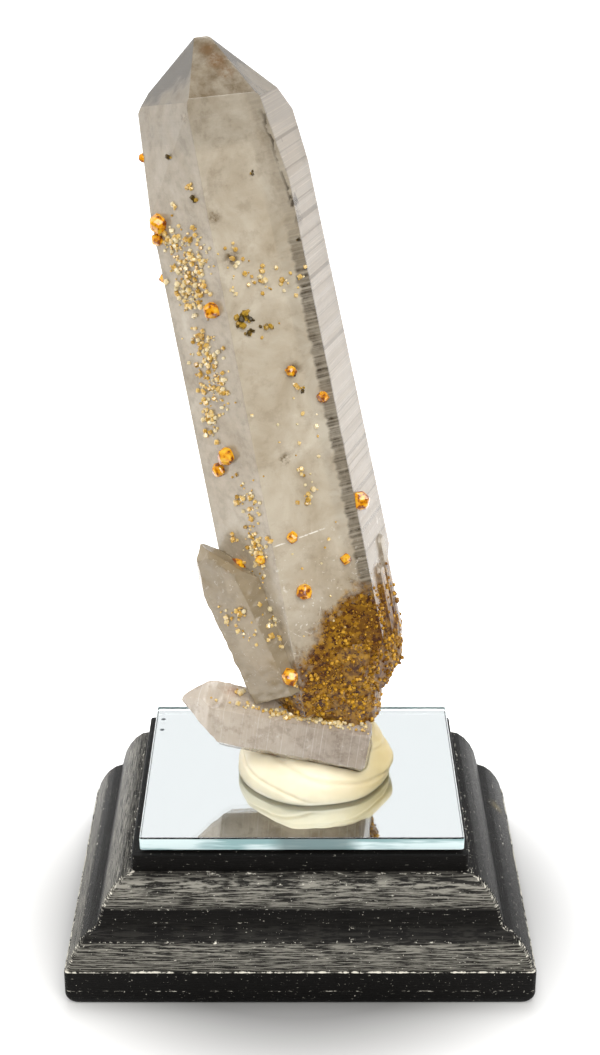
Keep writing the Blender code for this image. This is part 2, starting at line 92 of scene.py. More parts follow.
# Lumps of the stained root: middle, half sizes (mm), breaks, seed
ROOT_LUMPS = (
    ((12.6, 10.2, 68.0), (12.2, 14.0, 10.5), 30, 3),
    ((8.8, 7.2, 57.0), (11.0, 12.6, 12.6), 30, 8),
    ((8.2, 9.8, 50.0), (9.6, 9.4, 9.0), 24, 12),
)
BREAK_SPREAD = 0.09
BREAK_TURN = 0.16

# The stand's moulding from the table up, as reach out from the mirror's edge and height (mm)
STAND_ROUNDS = (
    (16.0, 9.1), (15.4, 11.1), (14.4, 13.0), (13.1, 14.7), (11.4, 16.0), (9.4, 16.7), (8.9, 18.6),
    (8.3, 20.8), (7.2, 22.9), (5.7, 24.8), (3.9, 26.1), (1.5, 26.5),
)
STAND_HEIGHT = 30.7
# How much grey the paint shows at each height, partly dust in its pores and partly painted sheen, strongest
# on the upward rounds where the top light falls; and where its edges are worn and painted bright (mm)
DUST_AND_SHEEN_BANDS = ((0.0, 0.0), (8.9, 0.0), (9.3, 0.4), (10.0, 0.6), (14.2, 0.6), (15.0, 0.05), (20.4, 0.0),
               (21.6, 0.6), (25.4, 0.7), (26.3, 0.3), (26.6, 0.0))
# Bright lines round the stand, partly worn paint and partly painted highlights on its edges (height, share)
WORN_AND_LIT_LINES = ((4.0, 0.7), (9.0, 1.2), (14.9, 0.5), (17.6, 0.35), (20.6, 0.45), (26.4, 0.45))
WORN_AND_LIT_WIDTH = 0.22
MOULDING = (9.1, 26.5)
# Share of dust and painted sheen on each side: much at the front and on the window-lit left, almost none on
# the shaded right
DUST_AND_SHEEN_FRONT, DUST_AND_SHEEN_LEFT, DUST_AND_SHEEN_RIGHT = 0.87, 0.9, 0.03
RUBBED = (50.0, 22.0, 14.0)
MIRROR_SIZE = (75.0, 63.5)
MIRROR_MIDDLE = (0.4, 7.8)
STAND_BACK = 40.35
PINHOLES = ((-35.2, 33.5, 32.9), (-35.2, 28.0, 32.9))

TACK_MIDDLE = (3.4, 8.2)
TACK_HALF = (18.4, 18.2)
TACK_BOTTOM = 34.55
LEAN = 6.0  # how far the tack is undercut at its foot (degrees)

# Belts of small garnets on the crystals. After a host and its face: the height along the axis and the
# place across the face, half spreads in both, how many (mm).
BELTS = (
    ("main", "left", (116.0, -1.0, 7.0, 6.0, 110), (121.0, -6.5, 3.0, 2.5, 26), (109.0, -4.0, 4.0, 4.0, 40),
     (96.0, -2.0, 5.0, 4.5, 56), (88.0, -1.0, 5.0, 4.5, 60), (79.0, -5.0, 4.0, 2.0, 22),
     (60.0, 3.0, 7.0, 3.0, 22), (49.0, 2.5, 6.0, 4.0, 40)),
    ("main", "front", (110.0, 3.0, 4.0, 6.0, 18), (116.0, -4.0, 5.0, 3.0, 10), (62.0, 2.0, 4.0, 3.0, 5),
     (75.0, 1.0, 40.0, 9.0, 22)),
    ("side", "front_left", (27.0, 1.0, 4.0, 3.0, 16)),
    ("side", "front_right", (23.0, -1.5, 6.0, 2.0, 26), (12.0, -1.0, 8.0, 3.0, 14)),
    ("lying", "upper", (15.0, -1.8, 14.0, 1.1, 110)),
    ("main", "right_back", (85.0, 0.0, 30.0, 7.0, 40)),
    ("main", "back", (95.0, 0.0, 30.0, 7.0, 60)),
    ("main", "left_back", (112.0, 3.0, 10.0, 4.0, 40)),
)
# Knots of middling garnets: height, place across, radius (mm)
KNOTS = (
    ("main", "left", (133.0, 4.0, 0.9), (128.5, -2.0, 0.7), (124.0, 2.5, 0.8), (123.0, -8.0, 0.8),
     (80.5, -5.0, 0.7), (60.0, -1.0, 0.9), (50.5, -5.0, 1.1), (48.0, 0.5, 0.8)),
    ("main", "front", (109.0, 9.0, 0.9), (111.0, 0.5, 0.8), (109.5, -6.0, 0.6), (66.5, 0.5, 0.9),
     (59.0, 0.5, 1.0), (85.0, 3.5, 0.9)),
    ("side", "front_left", (29.0, 2.0, 1.1), (28.0, -3.0, 0.9)),
    ("side", "front_right", (28.0, 1.0, 1.1), (24.5, -1.5, 1.0), (21.5, -4.0, 1.1)),
    ("lying", "upper", (31.5, 1.5, 1.1), (20.0, -1.5, 0.8), (14.0, -2.0, 1.0), (8.0, -2.0, 0.8)),
)
# Knots of dark greenish-brown grains, in the same way
DARK_KNOTS = (
    ("main", "front", (104.0, -4.5, 1.1), (103.0, -5.5, 1.1), (102.5, -3.5, 0.8), (101.5, -5.5, 1.2),
     (99.5, -4.5, 0.9), (100.0, -0.5, 1.0), (88.5, 3.0, 0.8), (84.0, 4.5, 0.6)),
    ("main", "left", (139.5, -1.0, 0.8), (130.5, 4.5, 0.8)),
    ("main", "front", (133.0, 3.5, 0.5), (117.0, 10.5, 0.5)),
)
DARK_GARNET = "spessartine_06"  # a knot of dark grains stands for this one
# Brown patches under the skin of the quartz, and rust on it, in the same way
BROWN_PATCHES = (
    ("main", "front", (116.5, -4.7, 1.9), (126.0, -6.5, 1.4), (69.5, -2.5, 1.5), (89.0, 3.5, 1.6)),
    ("main", "left", (147.5, 6.5, 1.2)),
)
RUST_PATCHES = (
    ("main", "tip_front", (157.0, 1.0, 2.2), (154.5, 2.0, 1.8), (159.5, 0.0, 1.6)),
    ("lying", "upper", (34.0, 2.0, 2.6)),
)
# Scratches across the main crystal's front: height in the middle (mm), rise a millimetre across, ends
SCRATCHES = ((51.0, 0.1, -9.6, -5.4), (51.0, 0.1, -3.8, 3.2))


class StageSettings(bpy.types.PropertyGroup):
    camera_place: FloatVectorProperty(
        name="Camera place", description="Where the camera stands, from the middle of the stand's foot",
        default=(-0.0004, -0.398, 0.272), subtype="TRANSLATION", unit="LENGTH")
    camera_tilt: FloatProperty(
        name="Camera tilt", description="How far the camera looks down",
        default=math.radians(23.13), subtype="ANGLE")
    camera_turn: FloatProperty(
        name="Camera turn", description="How far the camera looks to the left",
        default=math.radians(-0.054), subtype="ANGLE")
    lens: FloatProperty(
        name="Lens", description="Focal length of the camera", default=64.83, subtype="DISTANCE_CAMERA")
    sky: FloatProperty(name="Sky", description="Strength of the even light behind the stand", default=1.08)
    room: FloatProperty(name="Room", description="Strength of the dimmer light before it", default=0.45)
    top_light: FloatProperty(
        name="Top light", description="Power of the soft light overhead", default=6.0, unit="POWER")
    side_light: FloatProperty(
        name="Side light", description="Power of the soft light at the right", default=0.08, unit="POWER")
    window_light: FloatProperty(
        name="Window light", description="Power of the soft light at the left", default=1.4, unit="POWER")
    key_light: FloatProperty(
        name="Key light", description="Power of the soft light by the camera", default=12.5, unit="POWER")


class QuartzSettings(bpy.types.PropertyGroup):
    milky: StringProperty(name="Milky", description="sRGB colour of the cloudy quartz", default="#D5CCBB")
    smoky: StringProperty(name="Smoky", description="sRGB colour of the smoky zones", default="#B0A38D")
    # The pale tone of the right side is partly painted light, standing in for light passing through the
    # quartz
    pale: StringProperty(name="Pale", description="sRGB colour of the pale right side", default="#AAA093")
    grey: StringProperty(name="Grey", description="sRGB colour of the grey tip faces", default="#6B6863")
    brown: StringProperty(name="Brown", description="sRGB colour of the brown zones", default="#5E4A28")
    rust: StringProperty(name="Rust", description="sRGB colour of the rust on the faces", default="#96581A")
    # The dark edge band is painted shade, the dark seen through the quartz at its right edge
    dark: StringProperty(name="Dark", description="sRGB colour of the dark edge band", default="#483E30")
    stain: StringProperty(name="Stain", description="sRGB colour of the stained root", default="#B4841C")
    deep_stain: StringProperty(name="Deep stain", description="sRGB colour of its specks", default="#3E1C08")
    row_step: FloatProperty(
        name="Row step", description="Distance between rows of the mesh along a crystal",
        default=0.55 * MM, unit="LENGTH")
    column_step: FloatProperty(
        name="Column step", description="Distance between columns of the mesh across a crystal",
        default=1.0 * MM, unit="LENGTH")
    edge: FloatProperty(name="Edge", description="Width of the worn edges", default=0.16 * MM, unit="LENGTH")
    ridge: FloatProperty(
        name="Ridge", description="Depth of the growth lines", default=0.11 * MM, unit="LENGTH")


class GarnetSettings(bpy.types.PropertyGroup):
    orange: StringProperty(name="Orange", description="sRGB colour of the large garnets", default="#F8A200")
    # The deep orange is partly painted shade, the dark parts inside the large garnets
    deep: StringProperty(name="Deep orange", description="sRGB colour of their cores", default="#8A4200")
    gold: StringProperty(name="Gold", description="sRGB colour of the small garnets", default="#FFDC8A")
    brown: StringProperty(name="Brown", description="sRGB colour of the darkest grains", default="#4A2408")
    smallest: FloatProperty(
        name="Smallest", description="Radius of the smallest grains", default=0.25 * MM, unit="LENGTH")
    largest: FloatProperty(
        name="Largest", description="Radius of the largest grains", default=0.8 * MM, unit="LENGTH")
    belt_density: FloatProperty(
        name="Belt density", description="How full of grains the belts are", default=1.45)
    root_grains: IntProperty(
        name="Root grains", description="How many grains crust the root", default=6500)


class TackSettings(bpy.types.PropertyGroup):
    cream: StringProperty(name="Cream", description="sRGB colour of the tack", default="#F5EDD6")
    rings: IntProperty(name="Rings", description="Rings of the tack's mesh", default=54)
    sides: IntProperty(name="Sides", description="Points round each ring", default=180)


class StandSettings(bpy.types.PropertyGroup):
    paint: StringProperty(name="Paint", description="sRGB colour of the black paint", default="#0D0C0B")
    # This dust colour also serves as painted sheen, the light on the rounds
    dust_and_light: StringProperty(name="Dust", description="sRGB colour of the dry pores", default="#A5A298")
    glass: StringProperty(name="Glass", description="sRGB tint of the mirror's glass", default="#8FC4C6")
    silver: StringProperty(name="Silver", description="sRGB colour of its backing", default="#EDF0EF")


def linear(text):
    """An sRGB hex colour as linear red, green, blue and alpha."""
    parts = [int(text[i:i + 2], 16) / 255.0 for i in (1, 3, 5)]
    return (*[c / 12.92 if c <= 0.04045 else ((c + 0.055) / 1.055) ** 2.4 for c in parts], 1.0)


def add(tree, kind, *inputs, out=0, **settings):
    """Adds a shader node with its settings, and gives one of its outputs. Its inputs stand in their
    order, or in a dict by name or number, each as a value or as an output to link it to."""
    made = tree.nodes.new("ShaderNode" + kind)
    for name, value in settings.items():
        setattr(made, name, value)
    by_name = inputs and isinstance(inputs[0], dict)
    for name, value in (inputs[0] if by_name else dict(enumerate(inputs))).items():
        if isinstance(value, bpy.types.NodeSocket):
            tree.links.new(value, made.inputs[name])
        else:
            made.inputs[name].default_value = value
    return made.outputs[out]


def new_finish(name, **plain):
    """A material with one Principled shader, whose plain values are set on its own sockets."""
    made = bpy.data.materials.new(name)
    made.use_nodes = True
    shader = made.node_tree.nodes["Principled BSDF"]
    for socket, value in plain.items():
        shader.inputs[socket.replace("_", " ")].default_value = value
    return made, made.node_tree


def drive(tree, **patterns):
    """Links patterns to the material's shader, and a volume to its output."""
    for socket, pattern in patterns.items():
        target = tree.nodes["Material Output" if socket == "Volume" else "Principled BSDF"]
        tree.links.new(pattern, target.inputs[socket.replace("_", " ")])


def lay_over(tree, colour, *layers):
    """Lays tones over a colour in turn. A layer is a tone, its share and the ranges that limit it: a
    pattern, where it starts and is full, and the shares at both, where they aren't 0 and 1."""
    for tone, share, *ranges in layers:
        for limits in ranges:
            share = add(tree, "Math", share, add(tree, "MapRange", *limits), operation="MULTIPLY")
        tone = linear(tone) if isinstance(tone, str) else tone
        colour = add(tree, "Mix", {0: share, 6: colour, 7: tone}, out=2, data_type="RGBA")
    return colour


def off_from(tree, pattern, value):
    """How far a pattern is from a value, on either side."""
    past = add(tree, "Math", pattern, value, operation="SUBTRACT")
    return add(tree, "Math", past, operation="ABSOLUTE")


def set_stops(pattern, stops):
    """Sets the places and colours of a colour ramp's stops."""
    elements = pattern.node.color_ramp.elements
    for number, (at, colour) in enumerate(stops):
        stop = elements[number] if number < 2 else elements.new(1.0)
        stop.position, stop.color = at, colour


def piece(name, mesh, finish, slot, *nodes):
    """Puts a new piece in the scene, on the specimen's body, in place of the CAD nodes."""
    made = bpy.data.objects.new(name, mesh)
    bpy.context.scene.collection.objects.link(made)
    mesh.materials.append(finish)
    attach(made, "root")
    if nodes:
        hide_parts(*nodes)
    return made


def crystal_frame(name):
    """The foot of a crystal (m), and its directions to the right, to the front and up its axis."""
    foot, axis, _ = CRYSTALS[name]
    up = Vector(axis).normalized()
    front = Vector((0.0, -1.0, 0.0))
    front = (front - front.dot(up) * up).normalized()
    return Vector(foot) * MM, up.cross(front), front, up


def face_normal(directions, turn, lift):
    _, right, front, up = directions
    a, e = math.radians(turn), math.radians(lift)
    return math.cos(e) * (math.sin(a) * right + math.cos(a) * front) + math.sin(e) * up


def crystal_planes(name):
    directions = crystal_frame(name)
    planes = {}
    for face, (turn, lift, distance) in CRYSTALS[name][2].items():
        normal = face_normal(directions, turn, lift)
        planes[face] = (directions[0] + normal * distance * MM, normal)
    return planes


def slender_planes(turn, distance, low, high, half_width):
    foot, _, _, up = directions = crystal_frame("main")
    start = foot + face_normal(directions, turn, 0.0) * distance * MM + up * low * MM
    planes = {"end": (start, -up)}
    for side in range(6):
        side_turn = CRYSTALS["main"][2]["front"][0] + 60.0 * side
        wall = face_normal(directions, side_turn, 0.0)
        tip = face_normal(directions, side_turn, TIP)
        reach = (high - low) * math.sin(math.radians(TIP)) + (side % 2) * SLENDER_UNEVEN
        planes[f"side_{side}"] = (start + wall * half_width * MM, wall)
        planes[f"tip_{side}"] = (start + tip * reach * MM, tip)
    return planes


def lump_planes(middle, half, breaks, seed):
    draw = random.Random(seed)
    golden = math.pi * (3.0 - math.sqrt(5.0))
    planes = {}
    for index in range(breaks):
        z = 1.0 - 2.0 * (index + 0.5) / breaks
        ring = math.sqrt(1.0 - z * z)
        normal = Vector((ring * math.cos(golden * index), ring * math.sin(golden * index), z))
        normal += Vector([draw.uniform(-BREAK_TURN, BREAK_TURN) for _ in range(3)])
        normal.normalize()
        reach = Vector([normal[i] * half[i] for i in range(3)]).length
        reach *= 1.0 + draw.uniform(-BREAK_SPREAD, BREAK_SPREAD)
        planes[f"break_{index}"] = ((Vector(middle) + normal * reach) * MM, normal)
    return planes


def quartz_bodies():
    """Every convex body of the quartz, as its planes by name."""
    bodies = {name: crystal_planes(name) for name in CRYSTALS}
    for number, values in enumerate(SLENDER, start=1):
        bodies[f"slender_{number}"] = slender_planes(*values)
    for number, values in enumerate(ROOT_LUMPS, start=1):
        bodies[f"root_{number}"] = lump_planes(*values)
    return bodies


def cut_solid(planes, edge):
    """A closed convex solid inside all the planes, with its edges worn by a narrow bevel."""
    middle = sum((point for point, _ in planes.values()), Vector()) / len(planes)
    bm = bmesh.new()
    bmesh.ops.create_cube(bm, size=0.4, matrix=Matrix.Translation(middle))
    for point, normal in planes.values():
        everything = bm.verts[:] + bm.edges[:] + bm.faces[:]
        result = bmesh.ops.bisect_plane(bm, geom=everything, dist=1e-7, plane_co=point,
                                        plane_no=normal, clear_outer=True)
        rim = [item for item in result["geom_cut"] if isinstance(item, bmesh.types.BMEdge)]
        if rim:
            bmesh.ops.edgeloop_fill(bm, edges=rim)
    bmesh.ops.remove_doubles(bm, verts=bm.verts, dist=0.02 * MM)
    bmesh.ops.dissolve_degenerate(bm, edges=bm.edges, dist=0.02 * MM)
    bmesh.ops.bevel(bm, geom=bm.edges[:], offset=edge, segments=2, profile=0.6,
                    affect="EDGES", clamp_overlap=True)
    bmesh.ops.recalc_face_normals(bm, faces=bm.faces)
    return bm


def to_mesh(name, bm):
    mesh = bpy.data.meshes.new(name)
    bm.to_mesh(mesh)
    bm.free()
    return mesh


def joined(name, solids):
    """One closed mesh round all the solids."""
    objects = [bpy.data.objects.new(f"{name}_{i}", to_mesh(f"{name}_{i}", bm)) for i, bm in enumerate(solids)]
    for each in objects:
        bpy.context.scene.collection.objects.link(each)
    target = objects[0]
    for tool in objects[1:]:
        modifier = target.modifiers.new(tool.name, "BOOLEAN")
        modifier.object, modifier.operation, modifier.solver = tool, "UNION", "EXACT"
    graph = bpy.context.evaluated_depsgraph_get()
    mesh = bpy.data.meshes.new_from_object(target.evaluated_get(graph))
    mesh.name = name
    for each in objects:
        bpy.data.objects.remove(each)
    return mesh


def slice_up(bm, start, direction, low, high, step, owner=None):
    """Cuts faces along even parallel planes so that they can take relief: all, or one body's."""
    layer = bm.faces.layers.int["owner"]
    place = low
    while place < high:
        faces = [face for face in bm.faces if owner is None or face[layer] == owner]
        edges = {edge for face in faces for edge in face.edges}
        corners = {corner for face in faces for corner in face.verts}
        bmesh.ops.bisect_plane(bm, geom=[*corners, *edges, *faces], dist=1e-6,
                               plane_co=start + direction * place, plane_no=direction)
        place += step


def depths(points, planes):
    """How far each point is out from each plane, one column a plane (mm)."""
    normals = np.array([normal for _, normal in planes.values()])
    reach = np.array([point.dot(normal) for point, normal in planes.values()])
    return (points @ normals.T - reach) / MM


def nearest_body(points, bodies):
    """The number of the body whose skin each point is on."""
    return np.argmin([np.abs(depths(points, planes).max(axis=1)) for planes in bodies.values()], axis=0)


def steps(places, spacing, seed):
    """An even random line, from -1 to 1, with a value every so often along it (all in mm)."""
    values = np.random.default_rng(seed).uniform(-1.0, 1.0, 512)
    at = np.asarray(places) / spacing + 100.0
    return np.interp(at % 511.0, np.arange(512), values)


def smooth(low, high, values):
    """0 below low and 1 above high, or the other way round where high is the lower one."""
    t = np.clip((np.asarray(values) - low) / (high - low), 0.0, 1.0)
    return t * t * (3.0 - 2.0 * t)


def set_values(mesh, name, values):
    """Stores one number a point, for the material to read."""
    mesh.attributes.new(name, "FLOAT", "POINT").data.foreach_set("value", values.astype(np.float32))


def read_values(items, name, width=1):
    """A value of each item of a mesh, or a row of them."""
    values = np.zeros(len(items) * width)
    items.foreach_get(name, values)
    return values.reshape(-1, width) if width > 1 else values


def smooth_shaded(mesh, sharp_from):
    """The mesh, shaded smooth but for edges that turn by more than an angle (degrees)."""
    mesh.polygons.foreach_set("use_smooth", [True] * len(mesh.polygons))
    mesh.set_sharp_from_angle(angle=math.radians(sharp_from))
    return mesh


# Faces of the main crystal that look alike
RIGHT_FACES = ("right", "shoulder_right", "shoulder_right_steep")
LEFT_FACES = ("left", "shoulder_left")
REAR_TIPS = ("tip_left_back", "tip_back", "tip_right_back", "chipped_tip")
BROKEN_FACES = ("broken_end", "broken_right", "broken_left_back")

# What the quartz's points store: the height up their own crystal (mm), and shares from 0 to 1
QUARTZ_VALUES = ("own_height", "pale_and_lit_side", "painted_shade_band", "grey_and_shaded_tip", "brown_and_shaded_zone", "brown_patch", "rust",
                 "stain", "lying", "side", "rough", "cracked")


def sliced_quartz(bodies, settings):
    """The joined crystals and root, cut into rows and columns that can take relief."""
    mesh = joined("smoky_quartz_cluster", [cut_solid(planes, settings.edge) for planes in bodies.values()])
    coarse = 1.0
    bm = bmesh.new()
    bm.from_mesh(mesh)
    layer = bm.faces.layers.int.new("owner")
    bm.faces.ensure_lookup_table()
    centres = np.array([face.calc_center_median() for face in bm.faces])
    for face, owner in zip(bm.faces, nearest_body(centres, bodies)):
        face[layer] = owner
    for owner, name in enumerate(CRYSTALS):
        foot, _, _, up = crystal_frame(name)
        slice_up(bm, foot, up, -0.02, 0.16, settings.row_step * coarse, owner)
    foot, right, front, _ = crystal_frame("main")
    slice_up(bm, foot, right, -0.05, 0.03, settings.column_step * coarse)
    slice_up(bm, foot, front, -0.03, 0.03, settings.column_step * coarse)
    bmesh.ops.triangulate(bm, faces=[face for face in bm.faces if len(face.verts) > 4])
    bm.normal_update()
    bm.to_mesh(mesh)
    bm.free()
    return mesh


def mark_main(read, mine, face, height):
    """Stores what the main crystal's faces look like, and gives how deep their growth lines are."""
    near_tip = smooth(112.0, 146.0, height)
    # Painted shade along the front face's right edge, fainter near the tip
    band = smooth(18.0, 34.0, height) * (1.0 - 0.75 * smooth(110.0, 124.0, height))
    read["painted_shade_band"][mine] = band[mine]
    read["cracked"][mine] = (1.0 - smooth(30.0, 62.0, height))[mine]
    depth = np.full(len(height), 0.45)
    # Per face shares of grey, brown and the pale tone: partly the faces' own tones, partly painted shade and
    # light, darker on faces that the lights make bright (the front tip, the left faces, the low right face)
    for faces, name, shares in (
            (RIGHT_FACES, "pale_and_lit_side", 1.0), (("right",), "brown_and_shaded_zone", 0.22 * smooth(85.0, 40.0, height)),
            (("tip_left",), "grey_and_shaded_tip", 0.95), (("tip_left",), "brown_and_shaded_zone", 0.15),
            (("tip_front",), "grey_and_shaded_tip", 0.2), (("tip_front",), "brown_and_shaded_zone", 0.8),
            (("tip_right",), "grey_and_shaded_tip", 1.0), (("tip_right",), "brown_and_shaded_zone", 0.4),
            (REAR_TIPS, "grey_and_shaded_tip", 0.8),
            (("front",), "brown_and_shaded_zone", 0.02 + 0.36 * near_tip + 0.4 * smooth(46.0, 22.0, height)),
            (LEFT_FACES, "grey_and_shaded_tip", 0.22 * near_tip), (LEFT_FACES, "brown_and_shaded_zone", 0.42),
            (BROKEN_FACES, "rough", 1.0)):
        here = mine & np.isin(face, faces)
        read[name][here] = np.broadcast_to(shares, height.shape)[here]
    depth[np.isin(face, RIGHT_FACES)] = 1.0
    depth[np.isin(face, ("tip_left", "tip_front", "tip_right", *REAR_TIPS))] = 0.15
    return depth


def noise_at(points, mine, sample):
    """A noise at each point of one body (mm), and 0 at the others."""
    return np.array([sample(Vector(point) / MM) if here else 0.0 for point, here in zip(points, mine)])


def build_quartz_mesh(settings):
    """The quartz as one closed mesh, with growth lines, worn edges and a rough broken root."""
    bodies = quartz_bodies()
    mesh = sliced_quartz(bodies, settings)
    points, normals = (read_values(mesh.vertices, name, 3) for name in ("co", "normal"))
    nearest = nearest_body(points, bodies)
    relief = np.zeros(len(points))
    read = {name: np.zeros(len(points)) for name in QUARTZ_VALUES}
    for index, (name, planes) in enumerate(bodies.items()):
        mine = nearest == index
        foot, _, _, up = crystal_frame(name if name in CRYSTALS else "main")
        height = (points - np.array(foot)) @ np.array(up) / MM
        read["own_height"][mine] = height[mine]
        if name.startswith("root"):
            wild = noise_at(points, mine, lambda at: noise.fractal(at * 0.28, 0.8, 2.2, 4))
            relief += 0.75 * wild
            read["rough"][mine] = 1.0
            continue
        out = depths(points, planes)
        ordered = np.sort(out, axis=1)
        edge = ordered[:, -1] - ordered[:, -2]  # 0 at an edge, larger inside a face
        depth = 0.45
        if name == "main":
            depth = mark_main(read, mine, np.array(list(planes))[np.argmax(out, axis=1)], height)
        elif name.startswith("slender"):
            # The slender crystals are toned browner, partly painted shade that dulls their bright edges
            read["pale_and_lit_side"][mine] = 0.2
            read["brown_and_shaded_zone"][mine] = 0.5
        else:
            relief += noise_at(points, mine, lambda at: (0.3 * noise.noise(at * 0.2)
                                                         + 0.2 * noise.noise(at * 0.6)))
            read[name][mine] = 1.0
            read["brown_and_shaded_zone"][mine] = (0.7 * smooth(28.0, 4.0, height))[mine] if name == "lying" else 0.25
            read["cracked"][mine] = 0.35
            depth = 1.3
        lines = 0.6 * steps(height, 1.1, index) + 0.4 * steps(height, 3.7, index + 20)
        relief[mine] += (depth * lines * smooth(0.1, 0.8, edge))[mine] * settings.ridge / MM
    # The stain covers the right of the root, below a slanting line
    x, _, z = (points / MM).T
    stain = smooth(-12.0, 5.0, 0.92 * x - 0.39 * (z - 55.0)) * smooth(97.0, 74.0, z)
    roots = np.isin(nearest, [i for i, name in enumerate(bodies) if name.startswith("root")])
    stain = np.maximum(stain, 0.9 * roots)
    read["stain"] = stain * (1.0 - 0.9 * read["lying"]) * (1.0 - 0.8 * read["side"])
    for name, patches in (("brown_patch", BROWN_PATCHES), ("rust", RUST_PATCHES)):
        for host, face, height, across, radius in on_faces(patches):
            middle, _ = place_on(host, face, height, across)
            near = np.linalg.norm(points - np.array(middle), axis=1) / (radius * MM)
            read[name] = np.maximum(read[name], smooth(1.3, 0.4, near))
    points += normals * (relief * MM)[:, None]
    mesh.vertices.foreach_set("co", points.ravel())
    for name, values in read.items():
        set_values(mesh, name, values)
    mesh.update()
    return smooth_shaded(mesh, 28.0)


def quartz_finish(settings):
    """Smoky quartz, grown: milky inside with smoky zones, glassy outside with fine growth lines."""
    made, tree = new_finish("grown_smoky_quartz", IOR=1.544, Transmission_Weight=0.3)
    place = add(tree, "TexCoord", out="Object")
    read = {name: add(tree, "Attribute", out="Fac", attribute_name=name) for name in QUARTZ_VALUES}
    height = read["own_height"]
    # Clouds of tiny bubbles, 5 to 15 mm across, mottles of 1 to 3 mm, and grit
    clouds = add(tree, "TexNoise", {"Vector": place, "Scale": 70.0, "Detail": 5.0, "Roughness": 0.6,
                                    "Distortion": 0.6})
    mottles = add(tree, "TexNoise", {"Vector": place, "Scale": 260.0, "Detail": 5.0, "Roughness": 0.7,
                                     "Distortion": 0.1})
    grit = add(tree, "TexNoise", {"Vector": place, "Scale": 800.0, "Detail": 4.0, "Roughness": 0.7})
    # Growth lines from 0.2 to 0.7 mm apart, ribs about 1 mm apart, and steps 2 to 3 mm apart
    along = add(tree, "CombineXYZ", {"Z": height})
    lines = add(tree, "TexNoise", {"Vector": along, "Scale": 2.6, "Detail": 4.0})
    ribs = add(tree, "TexNoise", {"Vector": along, "Scale": 1.4, "Detail": 3.0})
    steps_up = add(tree, "TexNoise", {"Vector": along, "Scale": 0.55, "Detail": 2.0})
    # How far a point is past the main crystal's front face, and past the faces at its right edge
    planes = crystal_planes("main")
    past = {}
    for face in ("front", "right", "shoulder_right"):
        point, normal = planes[face]
        reach = add(tree, "VectorMath", place, normal, out="Value", operation="DOT_PRODUCT")
        past[face] = add(tree, "Math", reach, point.dot(normal), operation="SUBTRACT")
    past_edge = add(tree, "Math", past["right"], past["shoulder_right"], operation="MAXIMUM")
    uneven_edge = add(tree, "Math", steps_up, 2.4 * MM, past_edge, operation="MULTIPLY_ADD")
    on_front = (past["front"], -0.6 * MM, -0.2 * MM)
    # Splinters wander along the edge, and inner cracks are thin curved sheets that meet the skin
    wander = add(tree, "Math", clouds, 9.0 * MM, past_edge, operation="MULTIPLY_ADD")
    sheets = add(tree, "TexNoise", {"Vector": place, "Scale": 55.0, "Detail": 2.0, "Distortion": 0.4})
    colour = lay_over(
        tree, linear(settings.smoky),
        (settings.milky, 1.0, (clouds, 0.32, 0.68)),
        (settings.brown, 0.18, (mottles, 0.52, 0.66)),
        # Grey tips, brown zones and the pale right side are set per face: partly own tones, partly painted
        # shade and light
        (settings.grey, read["grey_and_shaded_tip"], (clouds, 0.42, 0.54, 0.5, 1.0)),
        (settings.brown, read["brown_patch"], (mottles, 0.4, 0.55)),
        (settings.rust, read["rust"], (mottles, 0.4, 0.56, 0.0, 0.75)),
        # Painted light: the right faces' pale tone, with their own streaks
        (settings.pale, read["pale_and_lit_side"], (lines, 0.36, 0.5, 0.55, 1.0)),
        (settings.brown, read["brown_and_shaded_zone"], (mottles, 0.35, 0.62, 0.5, 1.0)),
        ("#6F6556", read["pale_and_lit_side"], (steps_up, 0.55, 0.6, 0.0, 0.6)),
        # The lying crystal is paler, with bright growth lines, and the side one is smokier
        ("#C9BAB0", 0.4, (read["lying"], 0.0, 1.0)),
        ("#EDE6DF", read["lying"], (lines, 0.54, 0.62, 0.0, 0.3)),
        ("#8A7858", read["side"], (clouds, 0.4, 0.6, 0.55, 0.85)),
        ("#8A7B6A", read["lying"], (mottles, 0.5, 0.62, 0.0, 0.35)),
        # High on the right shoulder the edge is chipped, in dark splinters half a millimetre wide
        ("#3E352A", 0.9, (past_edge, -1.4 * MM, -0.4 * MM), (past["front"], -3.6 * MM, -2.2 * MM),
         (height, 119.0, 124.0), (height, 147.0, 143.0), (mottles, 0.42, 0.5),
         (off_from(tree, wander, 3.9 * MM), 0.2 * MM, 0.5 * MM, 1.0, 0.0)),
        # Painted shade: a dark band on the front face along its right edge, 3 mm wide and ribbed, stands in
        # for the dark seen through the quartz near that edge
        (settings.dark, read["painted_shade_band"], (uneven_edge, -1.4 * MM, -0.8 * MM), on_front,
         (mottles, 0.36, 0.6, 1.0, 0.6), (ribs, 0.38, 0.58, 0.45, 1.0)),
        # White inner cracks, seen as lines 0.2 mm wide, and glints
        ("#F2EDE4", 0.8, (off_from(tree, sheets, 0.5), 0.002, 0.005, 1.0, 0.0), (mottles, 0.5, 0.56),
         (read["cracked"], 0.3, 0.9)),
        ("#F6F1E8", read["cracked"], (grit, 0.62, 0.67, 0.0, 0.7)))
